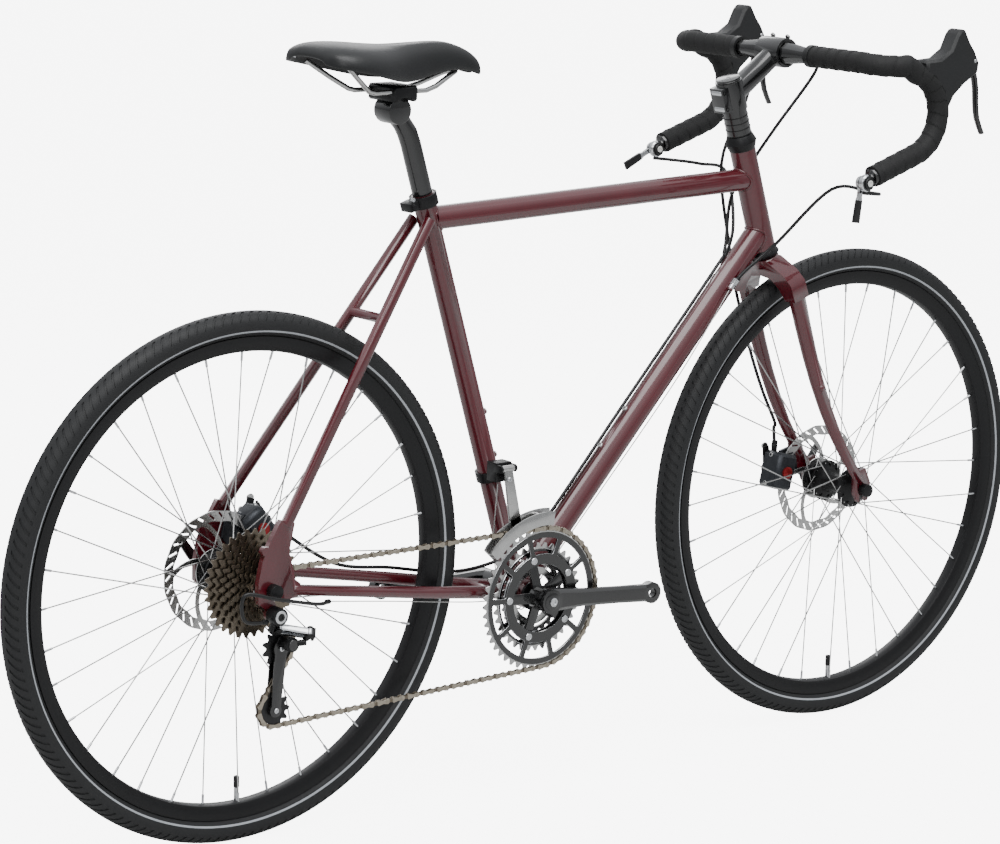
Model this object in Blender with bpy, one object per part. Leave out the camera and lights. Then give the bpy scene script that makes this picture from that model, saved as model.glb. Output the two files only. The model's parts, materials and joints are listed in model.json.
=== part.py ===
"""Touring bicycle with drop bars and disc brakes, at its real size, in metres.

X points forward, Y to the rider's left and Z up. The origin is on the ground, midway between the axles.
Each sub-part is one object. Sizes are named here once, and everything that fits together is worked out
from them.
"""

from math import acos, atan2, cos, hypot, pi, radians, sin, sqrt

import bmesh
import bpy
from mathutils import Matrix, Vector

for old in list(bpy.data.objects):
    bpy.data.objects.remove(old, do_unlink=True)

# ---------------------------------------------------------------- driving dimensions
GAP = 0.0003  # between pieces that touch
RUN = 0.0006  # between pieces that move on each other

WHEELBASE = 1.066
CHAINSTAY = 0.468
BB_DROP = 0.079
SEAT_ANGLE = radians(72.5)
HEAD_ANGLE = radians(72.0)
SEAT_TUBE_LENGTH = 0.585
HEAD_TUBE_LENGTH = 0.152
FORK_LENGTH = 0.386
FORK_RAKE = 0.047
TOP_TUBE_BELOW_SEAT = 0.035
TOP_TUBE_BELOW_HEAD = 0.046
DOWN_TUBE_ABOVE_CUP = 0.028

SEATPOST_R = 0.0136
SEATPOST_FIT = 0.0001
STEERER_R = 0.0143
SEAT_TUBE_R = SEATPOST_R + SEATPOST_FIT + 0.0006
SEAT_SLEEVE_R = SEAT_TUBE_R + 0.0007
HEAD_TUBE_BORE = STEERER_R + 0.0026
HEAD_TUBE_R = HEAD_TUBE_BORE + 0.0013
TOP_TUBE_R = 0.0159
DOWN_TUBE_R = 0.0175
TUBE_WALL = 0.0011
SPINDLE_R = 0.0085
BB_BORE_R = 0.0172
BB_SHELL_R = BB_BORE_R + 0.0028
BB_SHELL_WIDTH = 0.068
CHAINSTAY_R = 0.0090
SEATSTAY_R = 0.0078

TYRE_RADIUS = 0.348
TYRE_WIDTH = 0.0375
BEAD_RADIUS = 0.311
RIM_WIDTH = 0.025
RIM_DEPTH = 0.020
REAR_HUB_WIDTH = 0.135
FRONT_HUB_WIDTH = 0.100
FLANGE_R = 0.0300
SPOKE_CIRCLE_R = 0.0268
SPOKE_R = 0.0010
SPOKES = 36
AXLE_BORE_R = 0.0050
ROTOR_R = 0.080
ROTOR_THICKNESS = 0.0018
REAR_ROTOR_INSET = 0.0153
FRONT_ROTOR_INSET = 0.0105
DROPOUT_THICKNESS = 0.008
FORK_DROPOUT_THICKNESS = 0.006

UPPER_STACK = 0.022
LOWER_STACK = 0.013
SPACER_STACK = 0.037
STEM_CLAMP_HEIGHT = 0.043
STEM_LENGTH = 0.100
STEM_RISE = radians(17.0)
BAR_HALF_WIDTH = 0.217
BAR_R = 0.0119
BAR_CLAMP_R = 0.0159
TAPE_R = 0.0155
TAPE_START = 0.075
BAR_TOP_BEND_R = 0.045
BAR_REACH = 0.107
BAR_DROP_R = 0.058
BAR_DROP_BELOW = 0.070
BAR_TAIL = 0.085

SEATPOST_EXPOSED = 0.118
SEATPOST_INSERTED = 0.130
SEATPOST_SETBACK = 0.016
SADDLE_LENGTH = 0.274
SADDLE_HALF_WIDTH = 0.073
RAIL_R = 0.0035
RAIL_SPREAD = 0.022

CRANK_LENGTH = 0.175
CRANK_ANGLE = radians(-3.4)
PEDAL_HOLE_R = 0.0070
PITCH = 0.0127
RING_TEETH = (48, 36, 26)
RING_Y = (-0.0525, -0.0445, -0.0365)
RING_THICKNESS = 0.003
BOLT_CIRCLE_R = 0.055
INNER_BOLT_CIRCLE_R = 0.037
COGS = (11, 13, 15, 17, 20, 23, 26, 30, 34)
COG_PITCH = 0.00435
COG_THICKNESS = 0.0018
COG_INSET = 0.0050
PULLEY_TEETH = 11
CHAIN_HALF_WIDTH = 0.0033
CHAIN_HALF_HEIGHT = 0.0042

HOUSING_R = 0.0025
WIRE_R = 0.0008

# ---------------------------------------------------------------- points worked out from them
X = Vector((1, 0, 0))
Y = Vector((0, 1, 0))
Z = Vector((0, 0, 1))


def at(x, y, z):
    return Vector((x, y, z))


def tilted(angle, length=1.0):
    """A vector in the centre plane, at an angle above the forward axis."""
    return at(cos(angle), 0, sin(angle)) * length


REAR_AXLE = at(-WHEELBASE / 2, 0, TYRE_RADIUS)
FRONT_AXLE = at(WHEELBASE / 2, 0, TYRE_RADIUS)
BB = REAR_AXLE + at(sqrt(CHAINSTAY**2 - BB_DROP**2), 0, -BB_DROP)
SEAT_DIR = tilted(pi - SEAT_ANGLE)
STEER_DIR = tilted(pi - HEAD_ANGLE)
STEER_FOOT = FRONT_AXLE - at(sin(HEAD_ANGLE), 0, cos(HEAD_ANGLE)) * FORK_RAKE
CROWN_T = sqrt(FORK_LENGTH**2 - FORK_RAKE**2)
HEAD_LOW_T = CROWN_T + LOWER_STACK
HEAD_TOP_T = HEAD_LOW_T + HEAD_TUBE_LENGTH
STEM_LOW_T = HEAD_TOP_T + UPPER_STACK + SPACER_STACK
STEM_TOP_T = STEM_LOW_T + STEM_CLAMP_HEIGHT


def steer(t):
    """The point on the steering axis t above the foot of the axle."""
    return STEER_FOOT + STEER_DIR * t


def seat(s):
    """The point on the seat tube's axis s above the bottom bracket."""
    return BB + SEAT_DIR * s


TOP_TUBE_REAR = seat(SEAT_TUBE_LENGTH - TOP_TUBE_BELOW_SEAT)
TOP_TUBE_FRONT = steer(HEAD_TOP_T - TOP_TUBE_BELOW_HEAD)
DOWN_TUBE_FRONT = steer(HEAD_LOW_T + DOWN_TUBE_ABOVE_CUP)
DOWN_DIR = (DOWN_TUBE_FRONT - BB).normalized()
REAR_DROPOUT_Y = REAR_HUB_WIDTH / 2
FRONT_DROPOUT_Y = FRONT_HUB_WIDTH / 2
REAR_ROTOR_Y = REAR_DROPOUT_Y - REAR_ROTOR_INSET
FRONT_ROTOR_Y = FRONT_DROPOUT_Y - FRONT_ROTOR_INSET
STEM_MID = steer((STEM_LOW_T + STEM_TOP_T) / 2)
STEM_DIR = tilted(pi / 2 - HEAD_ANGLE + STEM_RISE)
BAR_CENTRE = STEM_MID + STEM_DIR * STEM_LENGTH
SEATPOST_TOP = seat(SEAT_TUBE_LENGTH + SEATPOST_EXPOSED)
TILT_AXIS = SEATPOST_TOP - X * SEATPOST_SETBACK
COG_Y = [-REAR_DROPOUT_Y + COG_INSET + i * COG_PITCH for i in range(len(COGS))]


def pitch_radius(teeth):
    return PITCH / (2 * sin(pi / teeth))


# ---------------------------------------------------------------- materials
FINISHES = {
    "burgundy_enamel": ((0.110, 0.010, 0.020, 1), 0.25, 0.22),
    "black_alloy": ((0.012, 0.012, 0.014, 1), 0.60, 0.32),
    "black_plastic": ((0.015, 0.015, 0.017, 1), 0.0, 0.55),
    "cork_tape": ((0.010, 0.010, 0.010, 1), 0.0, 0.85),
    "rubber": ((0.013, 0.013, 0.013, 1), 0.0, 0.80),
    "polished_alloy": ((0.62, 0.62, 0.63, 1), 1.0, 0.22),
    "stainless": ((0.55, 0.55, 0.56, 1), 1.0, 0.28),
    "nickel_steel": ((0.42, 0.39, 0.34, 1), 1.0, 0.35),
    "saddle_vinyl": ((0.014, 0.014, 0.015, 1), 0.0, 0.50),
}


def finish(obj, kind):
    """Gives the object its own Principled material."""
    colour, metallic, roughness = FINISHES[kind]
    material = bpy.data.materials.new(obj.name + "_" + kind)
    material.use_nodes = True
    shader = material.node_tree.nodes["Principled BSDF"]
    shader.inputs["Base Color"].default_value = colour
    shader.inputs["Metallic"].default_value = metallic
    shader.inputs["Roughness"].default_value = roughness
    material.diffuse_color = colour
    obj.data.materials.clear()
    obj.data.materials.append(material)


# ---------------------------------------------------------------- modelling helpers
def to_object(bm, name="piece"):
    """A new object from a bmesh, cleaned and with its faces pointing out."""
    bmesh.ops.remove_doubles(bm, verts=bm.verts, dist=1e-6)
    bmesh.ops.recalc_face_normals(bm, faces=bm.faces)
    mesh = bpy.data.meshes.new(name)
    bm.to_mesh(mesh)
    bm.free()
    obj = bpy.data.objects.new(name, mesh)
    bpy.context.scene.collection.objects.link(obj)
    return obj


def loft(rings, closed=False, name="piece"):
    """A skin through rings of points: capped at both ends, or closed into a loop."""
    bm = bmesh.new()
    rows = [[bm.verts.new(p) for p in ring] for ring in rings]
    pairs = list(zip(rows, rows[1:]))
    if closed:
        pairs.append((rows[-1], rows[0]))
    for low, high in pairs:
        for i in range(len(low)):
            j = (i + 1) % len(low)
            bm.faces.new((low[i], low[j], high[j], high[i]))
    if not closed:
        bm.faces.new(rows[0])
        bm.faces.new(list(reversed(rows[-1])))
    return to_object(bm, name)


def basis(direction):
    """Two unit vectors square to a direction, the first as near to +Y as it can be."""
    d = direction.normalized()
    side = Y - d * Y.dot(d)
    if side.length < 0.1:
        side = Z - d * Z.dot(d)
    side.normalize()
    return side, d.cross(side)


def circle(centre, direction, radius, sides, squash=1.0, turn=0.0):
    """A ring of points round a centre, square to a direction; squash narrows its second half-axis."""
    a, b = basis(direction)
    ring = []
    for i in range(sides):
        angle = 2 * pi * (i + 0.5) / sides + turn
        ring.append(centre + a * (radius * cos(angle)) + b * (radius * squash * sin(angle)))
    return ring


def rod(start, end, radius, sides=12, end_radius=None):
    """A straight round bar, tapered if it has an end radius."""
    direction = end - start
    last = radius if end_radius is None else end_radius
    return loft([circle(start, direction, radius, sides), circle(end, direction, last, sides)])


def carried_frames(path, closed=False):
    """Two side vectors at each point of a path, carried along it without twist."""
    count = len(path)
    tangents = []
    for i in range(count):
        before = path[i - 1] if (closed or i) else path[i]
        after = path[(i + 1) % count] if (closed or i + 1 < count) else path[i]
        tangents.append((after - before).normalized())
    side, _ = basis(tangents[0])
    frames = []
    for tangent in tangents:
        side = (side - tangent * side.dot(tangent)).normalized()
        frames.append((side, tangent.cross(side)))
    return frames


def swept(path, radius, sides=10, squash=1.0):
    """A round or oval bar along a path; radius is one value or one for each point."""
    radii = radius if isinstance(radius, list) else [radius] * len(path)
    rings = []
    for point, size, (a, b) in zip(path, radii, carried_frames(path)):
        ring = []
        for i in range(sides):
            angle = 2 * pi * (i + 0.5) / sides
            ring.append(point + a * (size * cos(angle)) + b * (size * squash * sin(angle)))
        rings.append(ring)
    return loft(rings)


def hollow(path, outer, inner, sides=12):
    """A tube along a path, open at both ends."""
    frames = carried_frames(path)
    bm = bmesh.new()
    walls = []
    for radius in (outer, inner):
        rows = []
        for point, (a, b) in zip(path, frames):
            row = []
            for i in range(sides):
                angle = 2 * pi * (i + 0.5) / sides
                row.append(bm.verts.new(point + a * (radius * cos(angle)) + b * (radius * sin(angle))))
            rows.append(row)
        for low, high in zip(rows, rows[1:]):
            for i in range(sides):
                j = (i + 1) % sides
                bm.faces.new((low[i], low[j], high[j], high[i]))
        walls.append(rows)
    for end in (0, -1):
        for i in range(sides):
            j = (i + 1) % sides
            out, inn = walls[0][end], walls[1][end]
            bm.faces.new((out[i], out[j], inn[j], inn[i]))
    return to_object(bm)


def turned(profile, centre, direction, segments):
    """A closed profile of (radius, distance along the axis) points, turned into a ring."""
    a, b = basis(direction)
    d = direction.normalized()
    rings = []
    for i in range(segments):
        angle = 2 * pi * i / segments
        out = a * cos(angle) + b * sin(angle)
        rings.append([centre + out * r + d * h for r, h in profile])
    return loft(rings, closed=True)


def disc(centre, direction, radius, low, high, segments=24):
    """A plain round piece between two distances along its axis."""
    d = direction.normalized()
    return loft(
        [circle(centre + d * low, d, radius, segments), circle(centre + d * high, d, radius, segments)]
    )


def plate(outline, y_low, y_high):
    """A flat piece: an outline of (x, z) points given a thickness in y."""
    return loft([[at(x, y_low, z) for x, z in outline], [at(x, y_high, z) for x, z in outline]])


def block(centre, size, rotation=None):
    """A box at a centre, turned by a rotation matrix if one is given."""
    turn = rotation or Matrix.Identity(3)
    half = Vector(size) / 2
    rings = []
    for k in (-1, 1):
        corners = ((-1, -1), (1, -1), (1, 1), (-1, 1))
        rings.append([centre + turn @ at(half.x * i, half.y * j, half.z * k) for i, j in corners])
    return loft(rings)


def apply_modifiers(obj):
    """Turns the evaluated mesh into the object's own mesh."""
    graph = bpy.context.evaluated_depsgraph_get()
    mesh = bpy.data.meshes.new_from_object(obj.evaluated_get(graph))
    obj.modifiers.clear()
    obj.data = mesh
    return obj


def combine(obj, others, operation):
    """A Boolean with each of the others, which are then removed."""
    for other in others:
        other.hide_render = True
        other.display_type = "WIRE"
        modifier = obj.modifiers.new(operation.lower(), "BOOLEAN")
        modifier.operation = operation
        modifier.solver = "EXACT"
        modifier.object = other
    apply_modifiers(obj)
    for other in others:
        bpy.data.objects.remove(other, do_unlink=True)
    return obj


def union(obj, *others):
    return combine(obj, others, "UNION")


def cut(obj, *cutters):
    return combine(obj, cutters, "DIFFERENCE")


def softened(obj, width, angle=radians(35)):
    """Rounds the sharp edges a little."""
    modifier = obj.modifiers.new("bevel", "BEVEL")
    modifier.width = width
    modifier.segments = 1
    modifier.limit_method = "ANGLE"
    modifier.angle_limit = angle
    return apply_modifiers(obj)


def part(name, obj, kind, origin=None):
    """Names a finished piece, shades it, and puts its origin on its joint if it has one."""
    bm = bmesh.new()
    bm.from_mesh(obj.data)
    bmesh.ops.remove_doubles(bm, verts=bm.verts, dist=2e-6)
    bmesh.ops.dissolve_degenerate(bm, edges=bm.edges, dist=1e-6)
    bmesh.ops.triangulate(bm, faces=bm.faces)
    bm.to_mesh(obj.data)
    bm.free()
    obj.name = name
    obj.data.name = name
    if origin is not None:
        obj.data.transform(Matrix.Translation(-origin))
        obj.location = origin
    obj.data.shade_smooth()
    obj.data.set_sharp_from_angle(angle=radians(35))
    finish(obj, kind)
    return obj


def smooth_path(points, steps=4):
    """A curve through the points, with this many pieces between each two."""
    path = []
    for i in range(len(points) - 1):
        p0 = points[max(i - 1, 0)]
        p1, p2 = points[i], points[i + 1]
        p3 = points[min(i + 2, len(points) - 1)]
        for step in range(steps):
            t = step / steps
            path.append(
                (
                    p1 * 2
                    + (p2 - p0) * t
                    + (p0 * 2 - p1 * 5 + p2 * 4 - p3) * t**2
                    + (p1 * 3 - p0 - p2 * 3 + p3) * t**3
                )
                / 2
            )
    path.append(points[-1])
    return path


# ---------------------------------------------------------------- frame
SEAT_FRONT = at(SEAT_DIR.z, 0, -SEAT_DIR.x)
DOWN_UP = at(-DOWN_DIR.z, 0, DOWN_DIR.x)
STEER_FRONT = at(STEER_DIR.z, 0, -STEER_DIR.x)
DOWN_LENGTH = (DOWN_TUBE_FRONT - BB).length
BOTTLE_SPACING = 0.064
BOSS_R = 0.0050
BOSS_HEIGHT = 0.0020
TUBE_SIDES = 18
STOP_FROM_HEAD = 0.100
STOP_R = 0.0042


def seat_tube_space():
    """The room the seat tube and its sleeve take, with a gap round them."""
    low = rod(BB, seat(SEAT_TUBE_LENGTH + 0.02), SEAT_TUBE_R + GAP, TUBE_SIDES)
    high = rod(seat(SEAT_TUBE_LENGTH - 0.060), seat(SEAT_TUBE_LENGTH + 0.02), SEAT_SLEEVE_R + GAP, TUBE_SIDES)
    return union(low, high)


def head_tube_space():
    return rod(steer(HEAD_LOW_T - 0.02), steer(HEAD_TOP_T + 0.02), HEAD_TUBE_R + GAP, TUBE_SIDES)


def shell_space():
    return disc(BB, Y, BB_SHELL_R + GAP, -0.05, 0.05, TUBE_SIDES)


def boss(base, normal, height=BOSS_HEIGHT):
    """A threaded boss standing a little above a tube."""
    return rod(base - normal * 0.002, base + normal * height, BOSS_R, 8)


def make_seat_tube():
    top = SEAT_TUBE_LENGTH
    tube = rod(BB, seat(top - 0.001), SEAT_TUBE_R, TUBE_SIDES)
    sleeve = rod(seat(top - 0.045), seat(top), SEAT_SLEEVE_R, TUBE_SIDES)
    shell = disc(BB, Y, BB_SHELL_R, -BB_SHELL_WIDTH / 2, BB_SHELL_WIDTH / 2, TUBE_SIDES)
    bosses = [boss(seat(0.20 + k * BOTTLE_SPACING) + SEAT_FRONT * SEAT_TUBE_R, SEAT_FRONT) for k in (0, 1)]
    body = union(tube, sleeve, shell, *bosses)
    bore = rod(BB, seat(top + 0.01), SEATPOST_R + SEATPOST_FIT, TUBE_SIDES)
    shell_bore = disc(BB, Y, BB_BORE_R, -0.05, 0.05, TUBE_SIDES)
    part("seat_tube", cut(body, bore, shell_bore), "burgundy_enamel")


def make_head_tube():
    tube = hollow([steer(HEAD_LOW_T), steer(HEAD_TOP_T)], HEAD_TUBE_R, HEAD_TUBE_BORE, TUBE_SIDES)
    part("head_tube", tube, "burgundy_enamel")


def make_top_tube():
    direction = (TOP_TUBE_FRONT - TOP_TUBE_REAR).normalized()
    start = TOP_TUBE_REAR + direction * 0.006
    end = TOP_TUBE_FRONT - direction * 0.006
    tube = hollow([start, end], TOP_TUBE_R, TOP_TUBE_R - TUBE_WALL, 16)
    part("top_tube", cut(tube, seat_tube_space(), head_tube_space()), "burgundy_enamel")


def make_down_tube():
    tube = hollow([BB, DOWN_TUBE_FRONT - DOWN_DIR * 0.006], DOWN_TUBE_R, DOWN_TUBE_R - TUBE_WALL, 16)
    additions, bores = [], []
    for k in (0, 1):
        base = BB + DOWN_DIR * (0.235 + k * BOTTLE_SPACING) + DOWN_UP * DOWN_TUBE_R
        additions.append(boss(base, DOWN_UP))
    for side in (-1, 1):
        centre = BB + DOWN_DIR * (DOWN_LENGTH - STOP_FROM_HEAD) + Y * side * (DOWN_TUBE_R + STOP_R * 0.7)
        additions.append(rod(centre - DOWN_DIR * 0.006, centre + DOWN_DIR * 0.006, STOP_R, 8))
        bores.append(rod(centre - DOWN_DIR * 0.012, centre + DOWN_DIR * 0.012, WIRE_R * 3.4, 6))
    body = union(tube, *additions)
    cup_space = rod(steer(HEAD_LOW_T - 0.03), steer(HEAD_LOW_T + GAP), HEAD_TUBE_R + 0.006, 16)
    part(
        "down_tube",
        cut(body, shell_space(), seat_tube_space(), head_tube_space(), cup_space, *bores),
        "burgundy_enamel",
    )


CHAINSTAY_SPLAY = ((0.0, 0.0210), (0.12, 0.0235), (0.24, 0.0320), (0.42, 0.0480), (0.70, 0.0615))
STAY_END = at(0.034, 0, -0.004)
SEATSTAY_END = at(0.022, 0, 0.080)
SEATSTAY_TOP = seat(SEAT_TUBE_LENGTH - 0.034) - X * 0.010
SEATSTAY_TOP_Y = 0.0165
STAY_Y = REAR_DROPOUT_Y + DROPOUT_THICKNESS / 2
BRIDGE_CLEARANCE = 0.036
DROPOUT_OUTLINE = (
    (0.013, 0.090),
    (0.034, 0.084),
    (0.026, 0.048),
    (0.036, 0.010),
    (0.044, 0.004),
    (0.044, -0.012),
    (0.022, -0.016),
    (0.012, -0.022),
    (-0.012, -0.022),
    (-0.021, -0.014),
    (-0.021, 0.012),
    (-0.015, 0.040),
    (-0.003, 0.064),
)
HANGER_DROP = at(0.0015, 0, -0.031)
HANGER_R = 0.0095


def chainstay_point(fraction, y):
    return BB + (REAR_AXLE + STAY_END - BB) * fraction + Y * y


def seatstay_point(fraction, side):
    low = REAR_AXLE + SEATSTAY_END + Y * side * STAY_Y
    high = SEATSTAY_TOP + Y * side * SEATSTAY_TOP_Y
    return high + (low - high) * fraction


def bridge_fraction():
    """Where the seatstays clear the tyre by the bridge's clearance."""
    fraction = 0.0
    while (seatstay_point(fraction, 0) - REAR_AXLE).length > TYRE_RADIUS + BRIDGE_CLEARANCE:
        fraction += 0.01
    return fraction


def make_stay_side(side):
    points = [chainstay_point(f, side * y) for f, y in CHAINSTAY_SPLAY]
    points.append(chainstay_point(1.0, side * STAY_Y))
    path = smooth_path(points, 2)
    radii = [CHAINSTAY_R * (1.1 - 0.3 * i / (len(path) - 1)) for i in range(len(path))]
    chainstay = swept(path, radii, 10)
    seatstay = rod(seatstay_point(0, side), seatstay_point(1, side), SEATSTAY_R, 10)
    outline = [(REAR_AXLE.x + x, REAR_AXLE.z + z) for x, z in DROPOUT_OUTLINE]
    inner = side * REAR_DROPOUT_Y
    outer = side * (REAR_DROPOUT_Y + DROPOUT_THICKNESS)
    dropout = plate(outline, min(inner, outer), max(inner, outer))
    pieces = [seatstay, dropout]
    if side < 0:
        bolt = REAR_AXLE + HANGER_DROP
        pieces.append(disc(bolt, Y, HANGER_R, outer, inner, 16))
    eyelet = REAR_AXLE + at(-0.010, 0, 0.052)
    pieces.append(disc(eyelet, Y, 0.006, min(inner, outer), max(inner, outer), 12))
    return union(chainstay, *pieces)


def make_rear_stays():
    left = make_stay_side(1)
    right = make_stay_side(-1)
    spread = CHAINSTAY_SPLAY[1]
    bridge_at = chainstay_point(spread[0] + 0.025, 0)
    low_bridge = disc(bridge_at, Y, 0.006, -spread[1], spread[1], 12)
    fraction = bridge_fraction()
    reach = seatstay_point(fraction, 1).y
    high_bridge = disc(seatstay_point(fraction, 0), Y, 0.0065, -reach, reach, 12)
    body = union(left, right, low_bridge, high_bridge)
    slots = []
    slot_dir = at(0.55, 0, -0.835)
    turn = Matrix.Rotation(atan2(0.55, 0.835), 3, "Y").inverted()
    for side in (-1, 1):
        middle = REAR_AXLE + Y * side * STAY_Y
        slots.append(disc(middle, Y, AXLE_BORE_R + GAP, -0.006, 0.006, 16))
        opening = block(middle + slot_dir * 0.02, (2 * (AXLE_BORE_R + GAP), 0.012, 0.04), turn)
        slots.append(opening)
    part(
        "rear_stays",
        cut(body, shell_space(), seat_tube_space(), *slots),
        "burgundy_enamel",
    )


# ---------------------------------------------------------------- headset, collar and bottom bracket
def make_headset():
    inner = STEERER_R + RUN
    spigot = HEAD_TUBE_BORE - GAP
    for name, end, up, stack in (
        ("headset_cup_upper", steer(HEAD_TOP_T), STEER_DIR, UPPER_STACK),
        ("headset_cup_lower", steer(HEAD_LOW_T), -STEER_DIR, LOWER_STACK),
    ):
        wide = HEAD_TUBE_R + 0.0043
        profile = (
            (inner, -0.010),
            (spigot, -0.010),
            (spigot, GAP),
            (HEAD_TUBE_R + 0.0006, GAP),
            (wide, stack * 0.50),
            (HEAD_TUBE_R, stack - GAP),
            (inner, stack - GAP),
        )
        part(name, turned(profile, end, up, 20), "black_alloy")


COLLAR_HEIGHT = 0.016


def make_seat_collar():
    inner = SEAT_SLEEVE_R + GAP
    outer = inner + 0.0035
    top = seat(SEAT_TUBE_LENGTH - COLLAR_HEIGHT / 2)
    profile = ((outer, -COLLAR_HEIGHT / 2), (outer, COLLAR_HEIGHT / 2), (inner, COLLAR_HEIGHT / 2))
    ring = turned(profile + ((inner, -COLLAR_HEIGHT / 2),), top, SEAT_DIR, 16)
    lug_centre = top - SEAT_FRONT * (outer + 0.005)
    lug = block(lug_centre, (0.015, 0.022, 0.012), Matrix.Rotation(pi / 2 - SEAT_ANGLE, 3, "Y").inverted())
    bolt = disc(top - SEAT_FRONT * (outer + 0.006), Y, 0.004, -0.0145, 0.0145, 12)
    body = union(ring, lug, bolt)
    bore = rod(top - SEAT_DIR * 0.02, top + SEAT_DIR * 0.02, inner + 0.0002, 24)
    part("seat_collar", cut(body, bore), "black_alloy")


def make_bottom_bracket():
    half = BB_SHELL_WIDTH / 2
    outer = BB_BORE_R - GAP
    inner = SPINDLE_R + RUN
    profile = (
        (inner, -half - 0.0035),
        (BB_SHELL_R, -half - 0.0035),
        (BB_SHELL_R, -half - GAP),
        (outer, -half - GAP),
        (outer, half + GAP),
        (BB_SHELL_R, half + GAP),
        (BB_SHELL_R, half + 0.0035),
        (inner, half + 0.0035),
    )
    part("bottom_bracket_cartridge", turned(profile, BB, Y, 20), "black_alloy")


# ---------------------------------------------------------------- wheels
WHEEL_SEGMENTS = 32


def make_tyre(name, axle):
    half = TYRE_WIDTH / 2
    seat_half = RIM_WIDTH / 2 - 0.0026
    tall = TYRE_RADIUS - BEAD_RADIUS
    outer = (
        (BEAD_RADIUS, seat_half),
        (BEAD_RADIUS + 0.0062, seat_half),
        (BEAD_RADIUS + tall * 0.50, half),
        (BEAD_RADIUS + tall * 0.84, half * 0.74),
        (TYRE_RADIUS, 0.0),
    )
    inner = (
        (TYRE_RADIUS - 0.0045, 0.0),
        (BEAD_RADIUS + tall * 0.50, half * 0.78),
        (BEAD_RADIUS, seat_half - 0.0025),
    )
    profile = list(outer)
    profile += [(r, -h) for r, h in reversed(outer[:-1])]
    profile += [(r, -h) for r, h in reversed(inner)]
    profile += list(inner[1:])
    part(name, turned(profile, axle, Y, WHEEL_SEGMENTS), "rubber")


def make_rim(name, axle):
    half = RIM_WIDTH / 2
    wall = 0.0020
    hook = BEAD_RADIUS + 0.0055
    base = hook - RIM_DEPTH
    well = BEAD_RADIUS - 0.0012
    outer = ((hook, half - wall), (hook, half), (base, half * 0.60))
    profile = list(outer) + [(r, -h) for r, h in reversed(outer)]
    profile += [(well, -(half - wall)), (well, half - wall)]
    part(name, turned(profile, axle, Y, WHEEL_SEGMENTS), "black_alloy")


RIM_INNER_R = (BEAD_RADIUS + 0.0055 - RIM_DEPTH) * cos(pi / WHEEL_SEGMENTS)


def spokes(axle, flanges):
    """Three-cross lacing: each flange's spokes leave it alternately forwards and backwards."""
    bm = bmesh.new()
    per_flange = SPOKES // 2
    crossing = 6 * pi / per_flange
    for side, flange_y in enumerate(flanges):
        for k in range(per_flange):
            lean = 1 if k % 2 else -1
            at_flange = 2 * pi * (k + 0.5 * side) / per_flange
            at_rim = at_flange + lean * crossing
            away = 1 if flange_y > 0 else -1
            start = axle + at(sin(at_flange), 0, cos(at_flange)) * SPOKE_CIRCLE_R
            start += Y * (flange_y + lean * 0.0019)
            end = axle + at(sin(at_rim), 0, cos(at_rim)) * (RIM_INNER_R - GAP)
            end += Y * (away * 0.0035 + lean * 0.0008)
            rings = [circle(start, end - start, SPOKE_R, 3), circle(end, end - start, SPOKE_R, 3)]
            rows = [[bm.verts.new(p) for p in ring] for ring in rings]
            for i in range(3):
                j = (i + 1) % 3
                bm.faces.new((rows[0][i], rows[0][j], rows[1][j], rows[1][i]))
            bm.faces.new(rows[0])
            bm.faces.new(list(reversed(rows[1])))
    return to_object(bm)


HUB_END = 0.0015  # from a dropout's inner face to the turning end cap
DISC_SPIGOT_R = 0.0222


def make_hub(name, axle, half_width, right_flange, rotor_y, freehub_end):
    left_flange = rotor_y - 0.0187
    seat_y = rotor_y - ROTOR_THICKNESS / 2 - GAP
    right_end = -half_width + HUB_END
    left_end = half_width - HUB_END
    profile = [(AXLE_BORE_R + GAP, right_end)]
    if freehub_end is None:
        profile += [(0.0110, right_end), (0.0190, right_flange - 0.006)]
    else:
        profile += [(0.0165, right_end), (0.0165, freehub_end)]
    profile += [
        (FLANGE_R, right_flange - 0.0016),
        (FLANGE_R, right_flange + 0.0016),
        (0.0180, right_flange + 0.0045),
        (0.0165, left_flange - 0.0045),
        (FLANGE_R, left_flange - 0.0016),
        (FLANGE_R, left_flange + 0.0016),
        (0.0180, left_flange + 0.0040),
        (0.0250, seat_y - 0.0045),
        (0.0250, seat_y),
        (DISC_SPIGOT_R, seat_y),
        (DISC_SPIGOT_R, rotor_y + 0.0020),
        (0.0110, left_end),
        (AXLE_BORE_R + GAP, left_end),
    ]
    shell = turned(profile, axle, Y, 12)
    part(name, union(shell, spokes(axle, (right_flange, left_flange))), "polished_alloy")


def make_rotor(name, axle, y):
    low, high = y - ROTOR_THICKNESS / 2, y + ROTOR_THICKNESS / 2
    track = turned(
        ((ROTOR_R, low), (ROTOR_R, high), (ROTOR_R - 0.015, high), (ROTOR_R - 0.015, low)), axle, Y, 24
    )
    bore = DISC_SPIGOT_R + RUN
    carrier = turned(((0.029, low), (0.029, high), (bore, high), (bore, low)), axle, Y, 16)
    arms = []
    for k in range(5):
        angle = k * 2 * pi / 5
        inner = axle + at(cos(angle), 0, sin(angle)) * 0.026
        outer = axle + at(cos(angle + 0.5), 0, sin(angle + 0.5)) * (ROTOR_R - 0.012)
        along = (outer - inner).normalized()
        across = at(-along.z, 0, along.x) * 0.0032
        corners = (inner - across, outer - across, outer + across, inner + across)
        arms.append(plate([(c.x, c.z) for c in corners], low + 0.00005, high - 0.00005))
    part(name, union(track, carrier, *arms), "stainless")


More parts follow.
